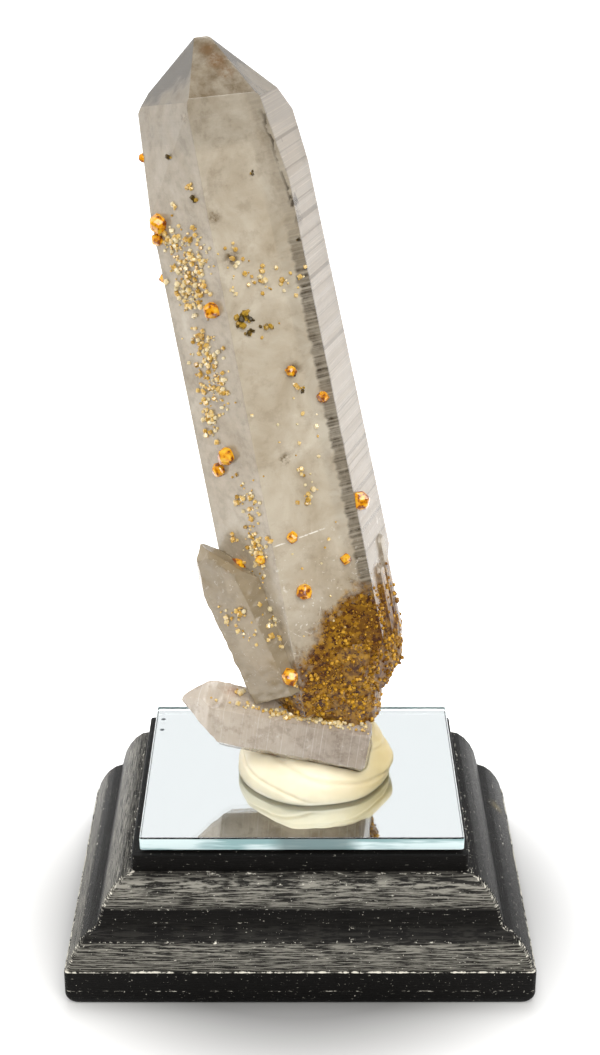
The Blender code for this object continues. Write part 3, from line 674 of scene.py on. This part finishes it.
    # White scratches across the front face, 0.25 mm wide
    directions = crystal_frame("main")
    sideways = face_normal(directions, CRYSTALS["main"][2]["front"][0] + 90.0, 0.0)
    middle = directions[0].dot(sideways)
    across = add(tree, "VectorMath", place, sideways, out="Value", operation="DOT_PRODUCT")
    for level, slope, low, high in SCRATCHES:
        rise = add(tree, "Math", across, -slope / MM, height, operation="MULTIPLY_ADD")
        off = off_from(tree, rise, level - slope * middle / MM)
        low_end, high_end = middle + low * MM, middle + high * MM
        colour = lay_over(tree, colour, (
            "#F6F1E8", 1.0, (off, 0.1, 0.2, 1.0, 0.0), (grit, 0.42, 0.5), on_front,
            (across, low_end, low_end + MM), (across, high_end, high_end - MM)))
    # Iron stain, in grains of 0.5 to 1 mm
    cells = add(tree, "TexVoronoi", {"Vector": place, "Scale": 1100.0}, out="Color")
    earth = lay_over(tree, linear("#5E3808"),
                     (settings.stain, 1.0, (add(tree, "SeparateXYZ", cells), 0.0, 1.0)),
                     ("#5C330A", 0.7, (clouds, 0.46, 0.58)), (settings.deep_stain, 1.0, (grit, 0.52, 0.6)))
    ragged = add(tree, "Math", mottles, read["stain"], operation="ADD")
    colour = lay_over(tree, colour, (earth, 1.0, (ragged, 0.7, 1.0), (read["stain"], 0.0, 0.15)))
    dull = add(tree, "MapRange", clouds, 0.0, 1.0, 0.1, 0.24)
    dull = add(tree, "Math", read["rough"], 0.3, dull, operation="MULTIPLY_ADD")
    bump = add(tree, "Bump", {"Height": lines, "Strength": 0.5, "Distance": 0.08 * MM})
    bump = add(tree, "Bump", {"Height": mottles, "Strength": 0.25, "Distance": 0.3 * MM, "Normal": bump})
    # The light that passes in comes out browner the longer its way
    depth = add(tree, "VolumeAbsorption", linear("#E7DAC5"), 25.0)
    drive(tree, Base_Color=colour, Roughness=dull, Normal=bump, Volume=depth)
    return made


UNIT_CORNERS = [Vector(c) for c in ((1, 0, 0), (-1, 0, 0), (0, 1, 0), (0, -1, 0), (0, 0, 1), (0, 0, -1))] + [
    Vector((x, y, z)) * 0.5 for x in (-1, 1) for y in (-1, 1) for z in (-1, 1)]


def unit_grain():
    """Corners and faces of a rhombic dodecahedron, the garnets' own shape."""
    faces = []
    for a, b in ((0, 2), (0, 3), (1, 2), (1, 3), (0, 4), (0, 5),
                 (1, 4), (1, 5), (2, 4), (2, 5), (3, 4), (3, 5)):
        out = UNIT_CORNERS[a] + UNIT_CORNERS[b]
        short = [i for i in range(6, 14) if abs(UNIT_CORNERS[i].dot(out) - 1.0) < 1e-6]
        ring = [a, short[0], b, short[1]]
        turn = (UNIT_CORNERS[ring[1]] - UNIT_CORNERS[a]).cross(UNIT_CORNERS[b] - UNIT_CORNERS[a])
        faces.append(ring if turn.dot(out) > 0.0 else ring[::-1])
    return np.array(UNIT_CORNERS), faces


def sow(name, places, seed):
    """One mesh of many garnet grains, each turned its own way. places are (point, radius)."""
    corners, faces = unit_grain()
    draw = np.random.default_rng(seed)
    all_points, all_faces, shades = [], [], []
    for number, (point, radius) in enumerate(places):
        turn, _ = np.linalg.qr(draw.normal(size=(3, 3)))
        if np.linalg.det(turn) < 0.0:
            turn[:, 0] *= -1.0
        size = radius * draw.uniform(0.85, 1.15, 3)
        all_points.append((corners * size) @ turn.T + np.array(point))
        all_faces += [[i + number * len(corners) for i in face] for face in faces]
        shades += [draw.uniform()] * len(corners)
    mesh = bpy.data.meshes.new(name)
    mesh.from_pydata(np.concatenate(all_points).tolist(), [], all_faces)
    set_values(mesh, "shade", np.array(shades))
    mesh.update()
    return mesh


def place_on(host, face, height, across):
    """A point on a crystal's long face, and the face's normal. Places are in mm."""
    foot, _, _, up = directions = crystal_frame(host)
    turn, lift, distance = CRYSTALS[host][2][face]
    normal, level = face_normal(directions, turn, lift), face_normal(directions, turn, 0.0)
    start = foot + up * height * MM + face_normal(directions, turn + 90.0, 0.0) * across * MM
    slide = (distance * MM - (start - foot).dot(normal)) / normal.dot(level)
    return start + level * slide, normal


def on_faces(groups):
    """Every row of the groups, each with its crystal and its face before it."""
    return [(host, face, *row) for host, face, *rows in groups for row in rows]


def belt_grains(settings):
    """Places of the small garnets on the crystals' faces, thickest in the middle of each belt."""
    draw = random.Random(31)
    bodies = quartz_bodies()
    places = []
    for host, face, height, across, high, wide, count in on_faces(BELTS):
        for _ in range(round(count * settings.belt_density)):
            point, normal = place_on(host, face, draw.gauss(height, high * 0.6),
                                     draw.gauss(across, wide * 0.6))
            radius = settings.smallest + (settings.largest - settings.smallest) * draw.random() ** 2.0
            inside = all((point - at).dot(n) < 0.05 * MM for at, n in bodies[host].values())
            buried = any(all((point - at).dot(n) < -0.2 * MM for at, n in planes.values())
                         for name, planes in bodies.items() if name != host)
            if inside and not buried:
                places.append((point + normal * radius * 0.4, radius))
    return places


def knot_grains(knots):
    """Places of the grains in knots, each of a few that grew together."""
    draw = random.Random(12)
    places = []
    for host, face, height, across, radius in on_faces(knots):
        point, normal = place_on(host, face, height, across)
        places.append((point + normal * radius * 0.4 * MM, radius * 0.8 * MM))
        for _ in range(draw.choice((2, 3, 4))):
            away = Vector([draw.gauss(0.0, 1.0) for _ in range(3)])
            away = (away - away.dot(normal) * normal).normalized()
            size = radius * draw.uniform(0.3, 0.7)
            spread = away * radius * draw.uniform(0.7, 1.3) + normal * size * 0.3
            places.append((point + spread * MM, size * MM))
    return places


CRUST_GRAIN = (0.12 * MM, 0.6 * MM)


def root_grains(mesh, settings):
    """Places of the grains that crust the root, over its stained faces."""
    draw = random.Random(8)
    centres, normals = (read_values(mesh.polygons, name, 3) for name in ("center", "normal"))
    stain = read_values(mesh.attributes["stain"].data, "value")
    first = np.array([polygon.vertices[0] for polygon in mesh.polygons])
    weight = read_values(mesh.polygons, "area") * np.clip(stain[first] - 0.05, 0.0, 1.0) ** 2.5
    # The grains grew thickly in patches 2 to 5 mm across
    for index in np.nonzero(weight)[0]:
        weight[index] *= max(0.15, 0.6 + 1.8 * noise.noise(Vector(centres[index]) / MM * 0.3))
    chosen = random.Random(9).choices(range(len(weight)), weights=weight.tolist(), k=settings.root_grains)
    places = []
    for index in chosen:
        radius = CRUST_GRAIN[0] + (CRUST_GRAIN[1] - CRUST_GRAIN[0]) * draw.random() ** 3
        normal = Vector(normals[index])
        jitter = Vector([draw.uniform(-0.4, 0.4) * MM for _ in range(3)])
        jitter -= normal * jitter.dot(normal)
        places.append((Vector(centres[index]) + jitter + normal * radius * 0.2, radius))
    return places


def garnet_finish(name, hues, transmission, roughness, shine):
    """Spessartine, grown: clear orange garnet with glassy faces, with dark and light patches that are partly
    painted shade and painted highlights.
    """
    made, tree = new_finish(name, IOR=1.80, Transmission_Weight=transmission, Specular_IOR_Level=shine,
                            Roughness=roughness)
    place = add(tree, "TexCoord", out="Object")
    # Each small grain has its own tone, and the large ones 0; patches are about 1 mm across, their darkest
    # and lightest tones partly painted shade and highlights
    shade = add(tree, "Attribute", out="Fac", attribute_name="shade")
    patches = add(tree, "TexNoise", {"Vector": place, "Scale": 800.0, "Detail": 3.0})
    colour = add(tree, "ValToRGB", add(tree, "Math", shade, 0.6, patches, operation="MULTIPLY_ADD"))
    set_stops(colour, [(at, linear(hue)) for at, hue in hues])
    growth = add(tree, "TexNoise", {"Vector": place, "Scale": 2500.0, "Detail": 2.0})
    bump = add(tree, "Bump", {"Height": growth, "Strength": 0.3, "Distance": 0.05 * MM})
    drive(tree, Base_Color=colour, Normal=bump)
    return made


def tack_point(angle, level):
    """A point of the tack's skin (mm), as in the part's source but fuller at its foot."""
    direction = Vector((math.cos(angle), math.sin(angle)))
    height = 9.4 + 5.4 * max(0.0, direction.dot(Vector((0.94, 0.342)))) ** 1.5
    lean = math.radians(-LEAN + (90.0 + LEAN) * level)
    waves = noise.noise((direction * 1.7).to_3d())
    reach = Vector((TACK_HALF[0] * direction.x, TACK_HALF[1] * direction.y))
    reach *= math.cos(lean) ** 0.55 * (1.0 + 0.025 * waves)
    pinch = 1.6 * max(0.0, math.cos(angle + 0.12)) ** 24 * math.exp(-((level - 0.2) / 0.16) ** 2)
    reach += direction * pinch
    low = math.sin(math.radians(LEAN))
    rise = (math.sin(lean) + low) / (1.0 + low)
    return Vector((TACK_MIDDLE[0] + reach.x, TACK_MIDDLE[1] + reach.y, TACK_BOTTOM + height * rise))


def build_tack_mesh(settings):
    """The tack as a soft pad, pressed down wherever the quartz sits in it."""
    bodies = quartz_bodies()
    rows = []
    bm = bmesh.new()
    for ring in range(settings.rings):
        level = ring / settings.rings
        rows.append([bm.verts.new(tack_point(math.tau * s / settings.sides, level) * MM)
                     for s in range(settings.sides)])
    for low, high in zip(rows, rows[1:]):
        for i in range(settings.sides):
            j = (i + 1) % settings.sides
            bm.faces.new((low[i], low[j], high[j], high[i]))
    bm.faces.new(list(reversed(rows[0])))
    top = bm.verts.new(sum((v.co for v in rows[-1]), Vector()) / settings.sides)
    for i in range(settings.sides):
        bm.faces.new((rows[-1][i], rows[-1][(i + 1) % settings.sides], top))
    bm.normal_update()
    for vertex in bm.verts:
        at = vertex.co / MM
        folds = noise.fractal(at * 0.16, 1.0, 2.0, 3) * 0.35
        crease = math.sin(at.z * 1.1 + 0.25 * at.x + 1.2 * noise.noise(at * 0.08))
        if TACK_BOTTOM + 0.4 < at.z:
            vertex.co += vertex.normal * (folds - 0.4 * max(0.0, crease) ** 10) * MM
        for name in ("main", "side", "lying", "root_1", "root_2", "root_3"):
            planes = bodies[name]
            while all((vertex.co - point).dot(normal) < 0.05 * MM for point, normal in planes.values()):
                vertex.co.z -= 0.1 * MM
                if vertex.co.z < TACK_BOTTOM * MM:
                    break
        vertex.co.z = max(vertex.co.z, TACK_BOTTOM * MM)
    mesh = to_mesh("mineral_tack_pad", bm)
    mesh.polygons.foreach_set("use_smooth", [True] * len(mesh.polygons))
    return mesh


def tack_finish(settings):
    """Mineral tack, kneaded: an oily cream putty, matt, a little light passing into it."""
    made, tree = new_finish("kneaded_mineral_tack", IOR=1.47, Subsurface_Weight=0.8,
                            Subsurface_Scale=3.0 * MM, Subsurface_Radius=(1.0, 0.95, 0.85),
                            Coat_Weight=0.1, Coat_Roughness=0.4)
    place = add(tree, "TexCoord", out="Object")
    # Smears 2 to 6 mm across, and painted shade at the right: darker and yellower where the quartz shades it
    smears = add(tree, "TexNoise", {"Vector": place, "Scale": 160.0, "Detail": 4.0})
    colour = lay_over(tree, linear("#ECE1C4"), (settings.cream, 1.0, (smears, 0.0, 1.0)),
                      ("#C2AE74", 0.8, (add(tree, "SeparateXYZ", place), 6.0 * MM, 19.0 * MM)))
    dull = add(tree, "MapRange", smears, 0.0, 1.0, 0.42, 0.62)
    bump = add(tree, "Bump", {"Height": smears, "Strength": 0.3, "Distance": 0.2 * MM})
    drive(tree, Base_Color=colour, Roughness=dull, Normal=bump)
    return made


def rounded_ring(left, right, front, back, z, corner, back_corner, corner_steps=6):
    points = []
    corners = ((right, back, -1, -1, back_corner), (left, back, 1, -1, back_corner),
               (left, front, 1, 1, corner), (right, front, -1, 1, corner))
    for number, (x, y, inward_x, inward_y, radius) in enumerate(corners):
        for step in range(corner_steps + 1):
            a = math.radians(90.0 * number + 90.0 * step / corner_steps)
            points.append(Vector((x + inward_x * radius + radius * math.cos(a),
                                  y + inward_y * radius + radius * math.sin(a), z)) * MM)
    return points


def skin(rings):
    bm = bmesh.new()
    rows = [[bm.verts.new(point) for point in ring] for ring in rings]
    count = len(rows[0])
    for low, high in zip(rows, rows[1:]):
        for i in range(count):
            j = (i + 1) % count
            bm.faces.new((low[i], low[j], high[j], high[i]))
    bm.faces.new(list(reversed(rows[0])))
    bm.faces.new(rows[-1])
    return bm


def stand_profile():
    """The moulding as (side reach, front reach, height), finer than the part's and worn round."""
    profile = []
    for step in range(9):
        a = math.radians(90.0 * step / 8)
        inset = 3.2 * (1.0 - math.sin(a))
        profile.append((16.4 - inset, 16.4 - inset * 0.5, 3.2 * (1.0 - math.cos(a))))
    line = [(16.4, 8.75), (16.3, 9.0), (16.05, 9.1)]
    rounds = STAND_ROUNDS
    for (r0, z0), (r1, z1) in zip(rounds, rounds[1:]):
        line += [(r0, z0), ((r0 + r1) / 2, (z0 + z1) / 2)]
    line += [(1.5, 26.5), (1.5, 30.35), (1.38, 30.62), (1.1, 30.7)]
    return profile + [(reach, reach, height) for reach, height in line]


def build_stand_mesh():
    rings = []
    for side_reach, front_reach, height in stand_profile():
        side = MIRROR_SIZE[0] / 2 + side_reach
        front = MIRROR_MIDDLE[1] - MIRROR_SIZE[1] / 2 - front_reach
        rings.append(rounded_ring(-side, side, front, STAND_BACK, height, 1.2, 0.5))
    bm = skin(rings)
    mesh = to_mesh("mirror_stand", bm)
    grain = mesh.attributes.new("grain_place", "FLOAT_VECTOR", "CORNER")
    values = []
    for polygon in mesh.polygons:
        across_front = abs(polygon.normal.y) >= abs(polygon.normal.x)
        for index in polygon.vertices:
            x, y, z = mesh.vertices[index].co / MM
            values += (x, z - y * 0.5, 0.0) if across_front else (y + 200.0, z - abs(x) * 0.5, 7.0)
    grain.data.foreach_set("vector", np.array(values, np.float32))
    mitre = mesh.attributes.new("mitre", "FLOAT", "CORNER")
    dust_and_sheen = mesh.attributes.new("dust_and_sheen_share", "FLOAT", "CORNER")
    values = []
    shares = []
    for polygon in mesh.polygons:
        across, along, _ = (abs(n) for n in polygon.normal)
        on_moulding = MOULDING[0] < polygon.center.z / MM < MOULDING[1]
        # Mitres on the moulding take bright dashes, partly worn paint and partly painted highlights
        worn = on_moulding and min(across, along) > 0.3 * max(across, along)
        values += [0.5 * worn] * len(polygon.vertices)
        # Each side's share of dust and painted sheen
        share = DUST_AND_SHEEN_FRONT if along > across else (DUST_AND_SHEEN_LEFT if polygon.normal.x < 0.0 else DUST_AND_SHEEN_RIGHT)
        shares += [share] * len(polygon.vertices)
    mitre.data.foreach_set("value", np.array(values, np.float32))
    dust_and_sheen.data.foreach_set("value", np.array(shares, np.float32))
    return smooth_shaded(mesh, 35.0)


def stand_finish(settings):
    """Pine, painted black by brush: thin satin paint in the grain, dry pores grey with dust and painted
    sheen, and specks of dust and painted sparkle.
    """
    made, tree = new_finish("black_painted_pine", IOR=1.5, Specular_IOR_Level=0.08)
    grain = add(tree, "Attribute", out="Vector", attribute_name="grain_place")
    side_dust_and_sheen = add(tree, "Attribute", out="Fac", attribute_name="dust_and_sheen_share")
    mitre = add(tree, "Attribute", out="Fac", attribute_name="mitre")
    place = add(tree, "TexCoord", out="Object")
    # Grain lines 0.1 to 0.4 mm wide and 5 to 20 mm long, and dashes 0.3 mm high and 1 to 3 mm long
    stretched = add(tree, "VectorMath", grain, (0.14, 5.0, 1.0), operation="MULTIPLY")
    lines = add(tree, "TexNoise", {"Vector": stretched, "Scale": 1.0, "Detail": 5.0, "Roughness": 0.72})
    short = add(tree, "VectorMath", grain, (0.55, 3.0, 1.0), operation="MULTIPLY")
    dashes = add(tree, "TexNoise", {"Vector": short, "Scale": 1.0, "Detail": 3.0, "Roughness": 0.7})
    height = add(tree, "SeparateXYZ", place, out="Z")
    height = add(tree, "Math", height, STAND_HEIGHT * MM, operation="DIVIDE")
    # worn: bright lines by height, partly worn paint and partly painted highlights
    dust_and_sheen, worn = (add(tree, "ValToRGB", height) for _ in range(2))
    worn_and_lit_bands = [stop for at, most in WORN_AND_LIT_LINES for stop in
                  ((at - WORN_AND_LIT_WIDTH, 0.0), (at, most), (at + WORN_AND_LIT_WIDTH, 0.0))]
    for pattern, bands in ((dust_and_sheen, DUST_AND_SHEEN_BANDS), (worn, worn_and_lit_bands)):
        set_stops(pattern, [(at / STAND_HEIGHT, (share, share, share, 1.0)) for at, share in bands])
    # One place at the right is rubbed through to old varnish, about 6 mm long
    off = add(tree, "VectorMath", place, [c * MM for c in RUBBED], out="Value", operation="DISTANCE")
    off = add(tree, "Math", lines, 16.0 * MM, off, operation="MULTIPLY_ADD")
    # Bright dashes on the edges and mitres, partly worn paint and partly painted highlights, and bright
    # specks all over, partly dust and partly painted sparkle
    edges = add(tree, "Math", worn, mitre, operation="MAXIMUM")
    on_lines = add(tree, "Math", edges, 0.24, dashes, operation="MULTIPLY_ADD")
    on_lines = add(tree, "Math", dust_and_sheen, 0.04, on_lines, operation="MULTIPLY_ADD")
    dust_and_light = add(tree, "TexNoise", {"Vector": place, "Scale": 2200.0, "Detail": 2.0})
    bright = add(tree, "Math", add(tree, "MapRange", on_lines, 0.67, 0.76),
                 add(tree, "MapRange", dust_and_light, 0.72, 0.77), operation="MAXIMUM")
    pores = (lines, 0.46, 0.56, 0.04, 1.0)
    # Painted sheen: the grey in the pores, by height and side, stands in for the light on the rounds as well
    # as for dust
    colour = lay_over(tree, linear(settings.paint), (settings.dust_and_light, dust_and_sheen, pores, (side_dust_and_sheen, 0.0, 1.0)),
                      ("#8E7E48", 1.0, pores, (off, 11.0 * MM, 9.0 * MM)),
                      ("#D2CEC2", 1.0, (bright, 0.0, 1.0)))
    dull = add(tree, "MapRange", lines, 0.0, 1.0, 0.28, 0.5)
    bump = add(tree, "Bump", {"Height": lines, "Strength": 1.0, "Distance": 0.3 * MM})
    drive(tree, Base_Color=colour, Roughness=dull, Normal=bump)
    return made


def build_mirror_meshes():
    """The mirror's glass, and its silver half way down it, which is where its reflections start."""
    (width, depth), (x, y) = MIRROR_SIZE, MIRROR_MIDDLE
    rings = []
    for height, inset in ((31.15, 0.25), (31.35, 0.05), (34.2, 0.0), (34.4, 0.1), (34.5, 0.3)):
        rings.append(rounded_ring(x - width / 2 + inset, x + width / 2 - inset, y - depth / 2 + inset,
                                  y + depth / 2 - inset, height, 0.7, 0.7))
    glass = to_mesh("mirror_glass_plate", skin(rings))
    rings = [rounded_ring(x - width / 2 + 0.3, x + width / 2 - 0.3, y - depth / 2 + 0.3, y + depth / 2 - 0.3,
                          height, 0.6, 0.6) for height in (32.8, 32.9)]
    return glass, to_mesh("mirror_backing", skin(rings))


def glass_finish(settings):
    """Float glass, cut: clear on top, and teal where the light passes through its long way."""
    made, tree = new_finish("cut_float_glass", Base_Color=linear("#FFFFFF"), IOR=1.52,
                            Transmission_Weight=1.0, Roughness=0.0)
    drive(tree, Volume=add(tree, "VolumeAbsorption", linear(settings.glass), 12.0))
    return made


def ground_edge_finish():
    """Float glass, cut and its edge rubbed down: frosted, with the glass's own teal in it."""
    made, tree = new_finish("ground_glass_edge", IOR=1.52, Transmission_Weight=0.15)
    place = add(tree, "TexCoord", out="Object")
    # The frosting is uneven in patches of 5 to 20 mm
    stretched = add(tree, "VectorMath", place, (60.0, 60.0, 500.0), operation="MULTIPLY")
    patches = add(tree, "TexNoise", {"Vector": stretched, "Scale": 1.0, "Detail": 3.0})
    # Painted reflection: below the tack the edge is painted darker, for the tack's dim reflection seen
    # through the glass
    off = off_from(tree, add(tree, "SeparateXYZ", place), TACK_MIDDLE[0] * MM)
    colour = lay_over(tree, linear("#8FB3B6"), ("#DDF0F2", 1.0, (patches, 0.42, 0.56)),
                      ("#6C8082", 0.8, (off, 11.0 * MM, 7.0 * MM)))
    drive(tree, Base_Color=colour, Roughness=add(tree, "MapRange", patches, 0.0, 1.0, 0.3, 0.5))
    return made


def silver_finish(settings):
    """Silver, laid on glass by a bath: an even bright mirror."""
    made, tree = new_finish("silvered_backing", Metallic=1.0, Roughness=0.02)
    place = add(tree, "TexCoord", out="Object")
    colour = linear(settings.silver)
    # Two pinholes, where the silver has come away
    for hole in PINHOLES:
        off = add(tree, "VectorMath", place, [c * MM for c in hole], out="Value", operation="DISTANCE")
        colour = lay_over(tree, colour, ("#3A4448", 1.0, (off, 0.7 * MM, 0.4 * MM)))
    drive(tree, Base_Color=colour)
    return made


def paper_finish():
    """White paper, rolled out, with a painted shadow: it is painted grey near the stand, and further out it
    glows with painted light, which keeps it white. Before the stand, out of the camera's view, it is a darker
    table."""
    made, tree = new_finish("white_paper_sweep", Roughness=0.9, Specular_IOR_Level=0.1)
    place = add(tree, "TexCoord", out="Object")
    painted_shadow_and_glow = (add(tree, "VectorMath", place, out="Value", operation="LENGTH"), 0.045, 0.1)
    on_paper = (add(tree, "SeparateXYZ", place, out="Y"), -0.2, -0.07)
    # Painted shadow near the stand, and a painted glow further out
    tone = lay_over(tree, linear("#8C8C8C"), ("#FFFFFF", 1.0, painted_shadow_and_glow))
    tone = lay_over(tree, linear("#4A4A4A"), (tone, 1.0, on_paper))
    glow = add(tree, "Math", add(tree, "MapRange", *painted_shadow_and_glow), add(tree, "MapRange", *on_paper, 0.0, 0.6),
               operation="MULTIPLY")
    drive(tree, Base_Color=tone, Emission_Color=tone, Emission_Strength=glow)
    return made


class SPECIMEN_OT_stage(bpy.types.Operator):
    """Sets the floor, the soft lights and the camera"""
    bl_idname = "specimen.stage"
    bl_label = "Stage"

    def execute(self, context):
        settings = context.scene.specimen_stage
        scene = context.scene
        scene.view_settings.view_transform = "Standard"
        # The room is bright behind the stand and to the left, and dimmer where the camera is
        scene.world = bpy.data.worlds.new("soft_white_room")
        scene.world.use_nodes = True
        room = scene.world.node_tree
        sky = room.nodes["Background"]
        sky.inputs["Color"].default_value = linear("#FCFDFF")
        back = add(room, "VectorMath", add(room, "TexCoord", out="Generated"), (-0.45, 0.89, 0.0),
                   out="Value", operation="DOT_PRODUCT")
        strength = add(room, "MapRange", back, -0.15, 0.4, settings.room, settings.sky)
        room.links.new(strength, sky.inputs["Strength"])
        bpy.ops.mesh.primitive_circle_add(vertices=96, radius=30.0, fill_type="NGON")
        floor = context.object
        floor.name = "pale_floor"
        floor.data.materials.append(paper_finish())
        for name, place, aim, size, power, tint in (
                ("top_softbox", (0.0, 0.4, 1.2), (0.0, 0.0, 0.05), 0.7, settings.top_light, "#FFFFFF"),
                ("key_softbox", (0.15, -0.75, 0.8), (0.0, 0.0, 0.1), 0.8, settings.key_light, "#FFFDF8"),
                ("side_softbox", (0.6, -0.1, 0.35), (0.0, 0.0, 0.1), 0.4, settings.side_light, "#FFFFFF"),
                ("window", (-0.8, 0.1, 0.35), (0.0, 0.0, 0.05), 0.6, settings.window_light, "#FFF6E8")):
            light = bpy.data.lights.new(name, "AREA")
            light.size, light.energy, light.color = size, power, linear(tint)[:3]
            made = bpy.data.objects.new(name, light)
            made.location = place
            made.rotation_euler = (Vector(aim) - Vector(place)).to_track_quat("-Z", "Y").to_euler()
            scene.collection.objects.link(made)
        lens = bpy.data.cameras.new("camera")
        lens.lens, lens.sensor_width, lens.clip_start, lens.clip_end = settings.lens, 36.0, 0.01, 80.0
        scene.camera = bpy.data.objects.new("camera", lens)
        scene.camera.location = settings.camera_place
        scene.camera.rotation_euler = (math.radians(90.0) - settings.camera_tilt, 0.0, settings.camera_turn)
        scene.collection.objects.link(scene.camera)
        return {"FINISHED"}


class SPECIMEN_OT_stand(bpy.types.Operator):
    """Builds the painted stand"""
    bl_idname = "specimen.stand"
    bl_label = "Painted stand"

    def execute(self, context):
        finish = stand_finish(context.scene.specimen_stand)
        piece("painted_stand", build_stand_mesh(), finish, "black_painted_wood", "display_stand")
        return {"FINISHED"}


class SPECIMEN_OT_mirror(bpy.types.Operator):
    """Builds the mirror's glass and its silvered backing"""
    bl_idname = "specimen.mirror"
    bl_label = "Mirror"

    def execute(self, context):
        settings = context.scene.specimen_stand
        glass, backing = build_mirror_meshes()
        piece("mirror_glass_plate", glass, glass_finish(settings), "mirror_glass", "mirror_plate")
        glass.materials.append(ground_edge_finish())
        for polygon in glass.polygons:
            polygon.material_index = int(abs(polygon.normal.z) < 0.3)
        piece("mirror_backing", backing, silver_finish(settings), "mirror_glass")
        return {"FINISHED"}


class SPECIMEN_OT_tack(bpy.types.Operator):
    """Builds the pad of tack that holds the stone"""
    bl_idname = "specimen.tack"
    bl_label = "Mineral tack"

    def execute(self, context):
        settings = context.scene.specimen_tack
        piece("tack_pad", build_tack_mesh(settings), tack_finish(settings), "mineral_tack", "mineral_tack")
        return {"FINISHED"}


class SPECIMEN_OT_quartz(bpy.types.Operator):
    """Builds the smoky quartz crystals and their root"""
    bl_idname = "specimen.quartz"
    bl_label = "Smoky quartz"

    def execute(self, context):
        settings = context.scene.specimen_quartz
        piece("smoky_quartz_cluster", build_quartz_mesh(settings), quartz_finish(settings),
              "smoky_quartz", "smoky_quartz")
        return {"FINISHED"}


class SPECIMEN_OT_garnets(bpy.types.Operator):
    """Finishes the large garnets, and sows the small ones on the quartz"""
    bl_idname = "specimen.garnets"
    bl_label = "Garnets"

    def execute(self, context):
        settings = context.scene.specimen_garnets
        # Each has its tones from dark to light, how much light passes, its roughness and its shine
        orange = garnet_finish("grown_spessartine", (
            (0.4, settings.deep), (0.5, settings.orange), (0.66, "#FFCC30")), 0.3, 0.08, 0.3)
        gold = garnet_finish("small_spessartine", (
            (0.4, "#B08830"), (0.6, "#E4B44C"), (0.8, settings.gold), (1.0, "#FFEEC0")), 0.4, 0.18, 0.5)
        dark = garnet_finish("dark_spessartine", (
            (0.5, "#2A1F04"), (0.85, "#4E3C0C"), (1.0, "#A88428")), 0.1, 0.35, 0.1)
        crust = garnet_finish("iron_stained_grains", (
            (0.4, settings.brown), (0.65, "#84580A"), (0.92, "#A2760E"), (1.0, "#CE9C30")), 0.1, 0.4, 0.1)
        for name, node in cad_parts.items():
            if name.startswith("spessartine"):
                node.data.materials.clear()
                node.data.materials.append(orange)
        quartz = bpy.data.objects["smoky_quartz_cluster"].data
        places = belt_grains(settings) + knot_grains(KNOTS)
        piece("small_garnets", sow("small_garnets", places, 4), gold, "spessartine")
        piece("dark_garnets", sow("dark_garnets", knot_grains(DARK_KNOTS), 6), dark, "spessartine",
              DARK_GARNET)
        piece("root_crust", sow("root_crust", root_grains(quartz, settings), 5), crust, "spessartine")
        return {"FINISHED"}


class SPECIMEN_PT_panel(bpy.types.Panel):
    """Lists the pieces of the specimen and their settings"""
    bl_label = "Specimen"
    bl_space_type = "VIEW_3D"
    bl_region_type = "UI"
    bl_category = "Specimen"

    def draw(self, context):
        for group, operators in PANEL_ROWS:
            box = self.layout.box()
            settings = getattr(context.scene, group)
            for name in settings.bl_rna.properties.keys():
                if name not in ("rna_type", "name"):
                    box.prop(settings, name)
            for operator in operators:
                box.operator(operator)


PANEL_ROWS = (
    ("specimen_stage", ("specimen.stage",)),
    ("specimen_stand", ("specimen.stand", "specimen.mirror")),
    ("specimen_tack", ("specimen.tack",)),
    ("specimen_quartz", ("specimen.quartz",)),
    ("specimen_garnets", ("specimen.garnets",)),
)
GROUPS = {
    "specimen_stage": StageSettings, "specimen_stand": StandSettings, "specimen_tack": TackSettings,
    "specimen_quartz": QuartzSettings, "specimen_garnets": GarnetSettings,
}
CLASSES = (
    *GROUPS.values(), SPECIMEN_OT_stage, SPECIMEN_OT_stand, SPECIMEN_OT_mirror, SPECIMEN_OT_tack,
    SPECIMEN_OT_quartz, SPECIMEN_OT_garnets, SPECIMEN_PT_panel,
)


def register():
    for each in CLASSES:
        bpy.utils.register_class(each)
    for name, group in GROUPS.items():
        setattr(bpy.types.Scene, name, PointerProperty(type=group))


def unregister():
    for name in GROUPS:
        delattr(bpy.types.Scene, name)
    for each in reversed(CLASSES):
        bpy.utils.unregister_class(each)


def main():
    register()
    bpy.ops.specimen.stage()
    bpy.ops.specimen.stand()
    bpy.ops.specimen.mirror()
    bpy.ops.specimen.tack()
    bpy.ops.specimen.quartz()
    bpy.ops.specimen.garnets()


if __name__ == "__main__":
    main()
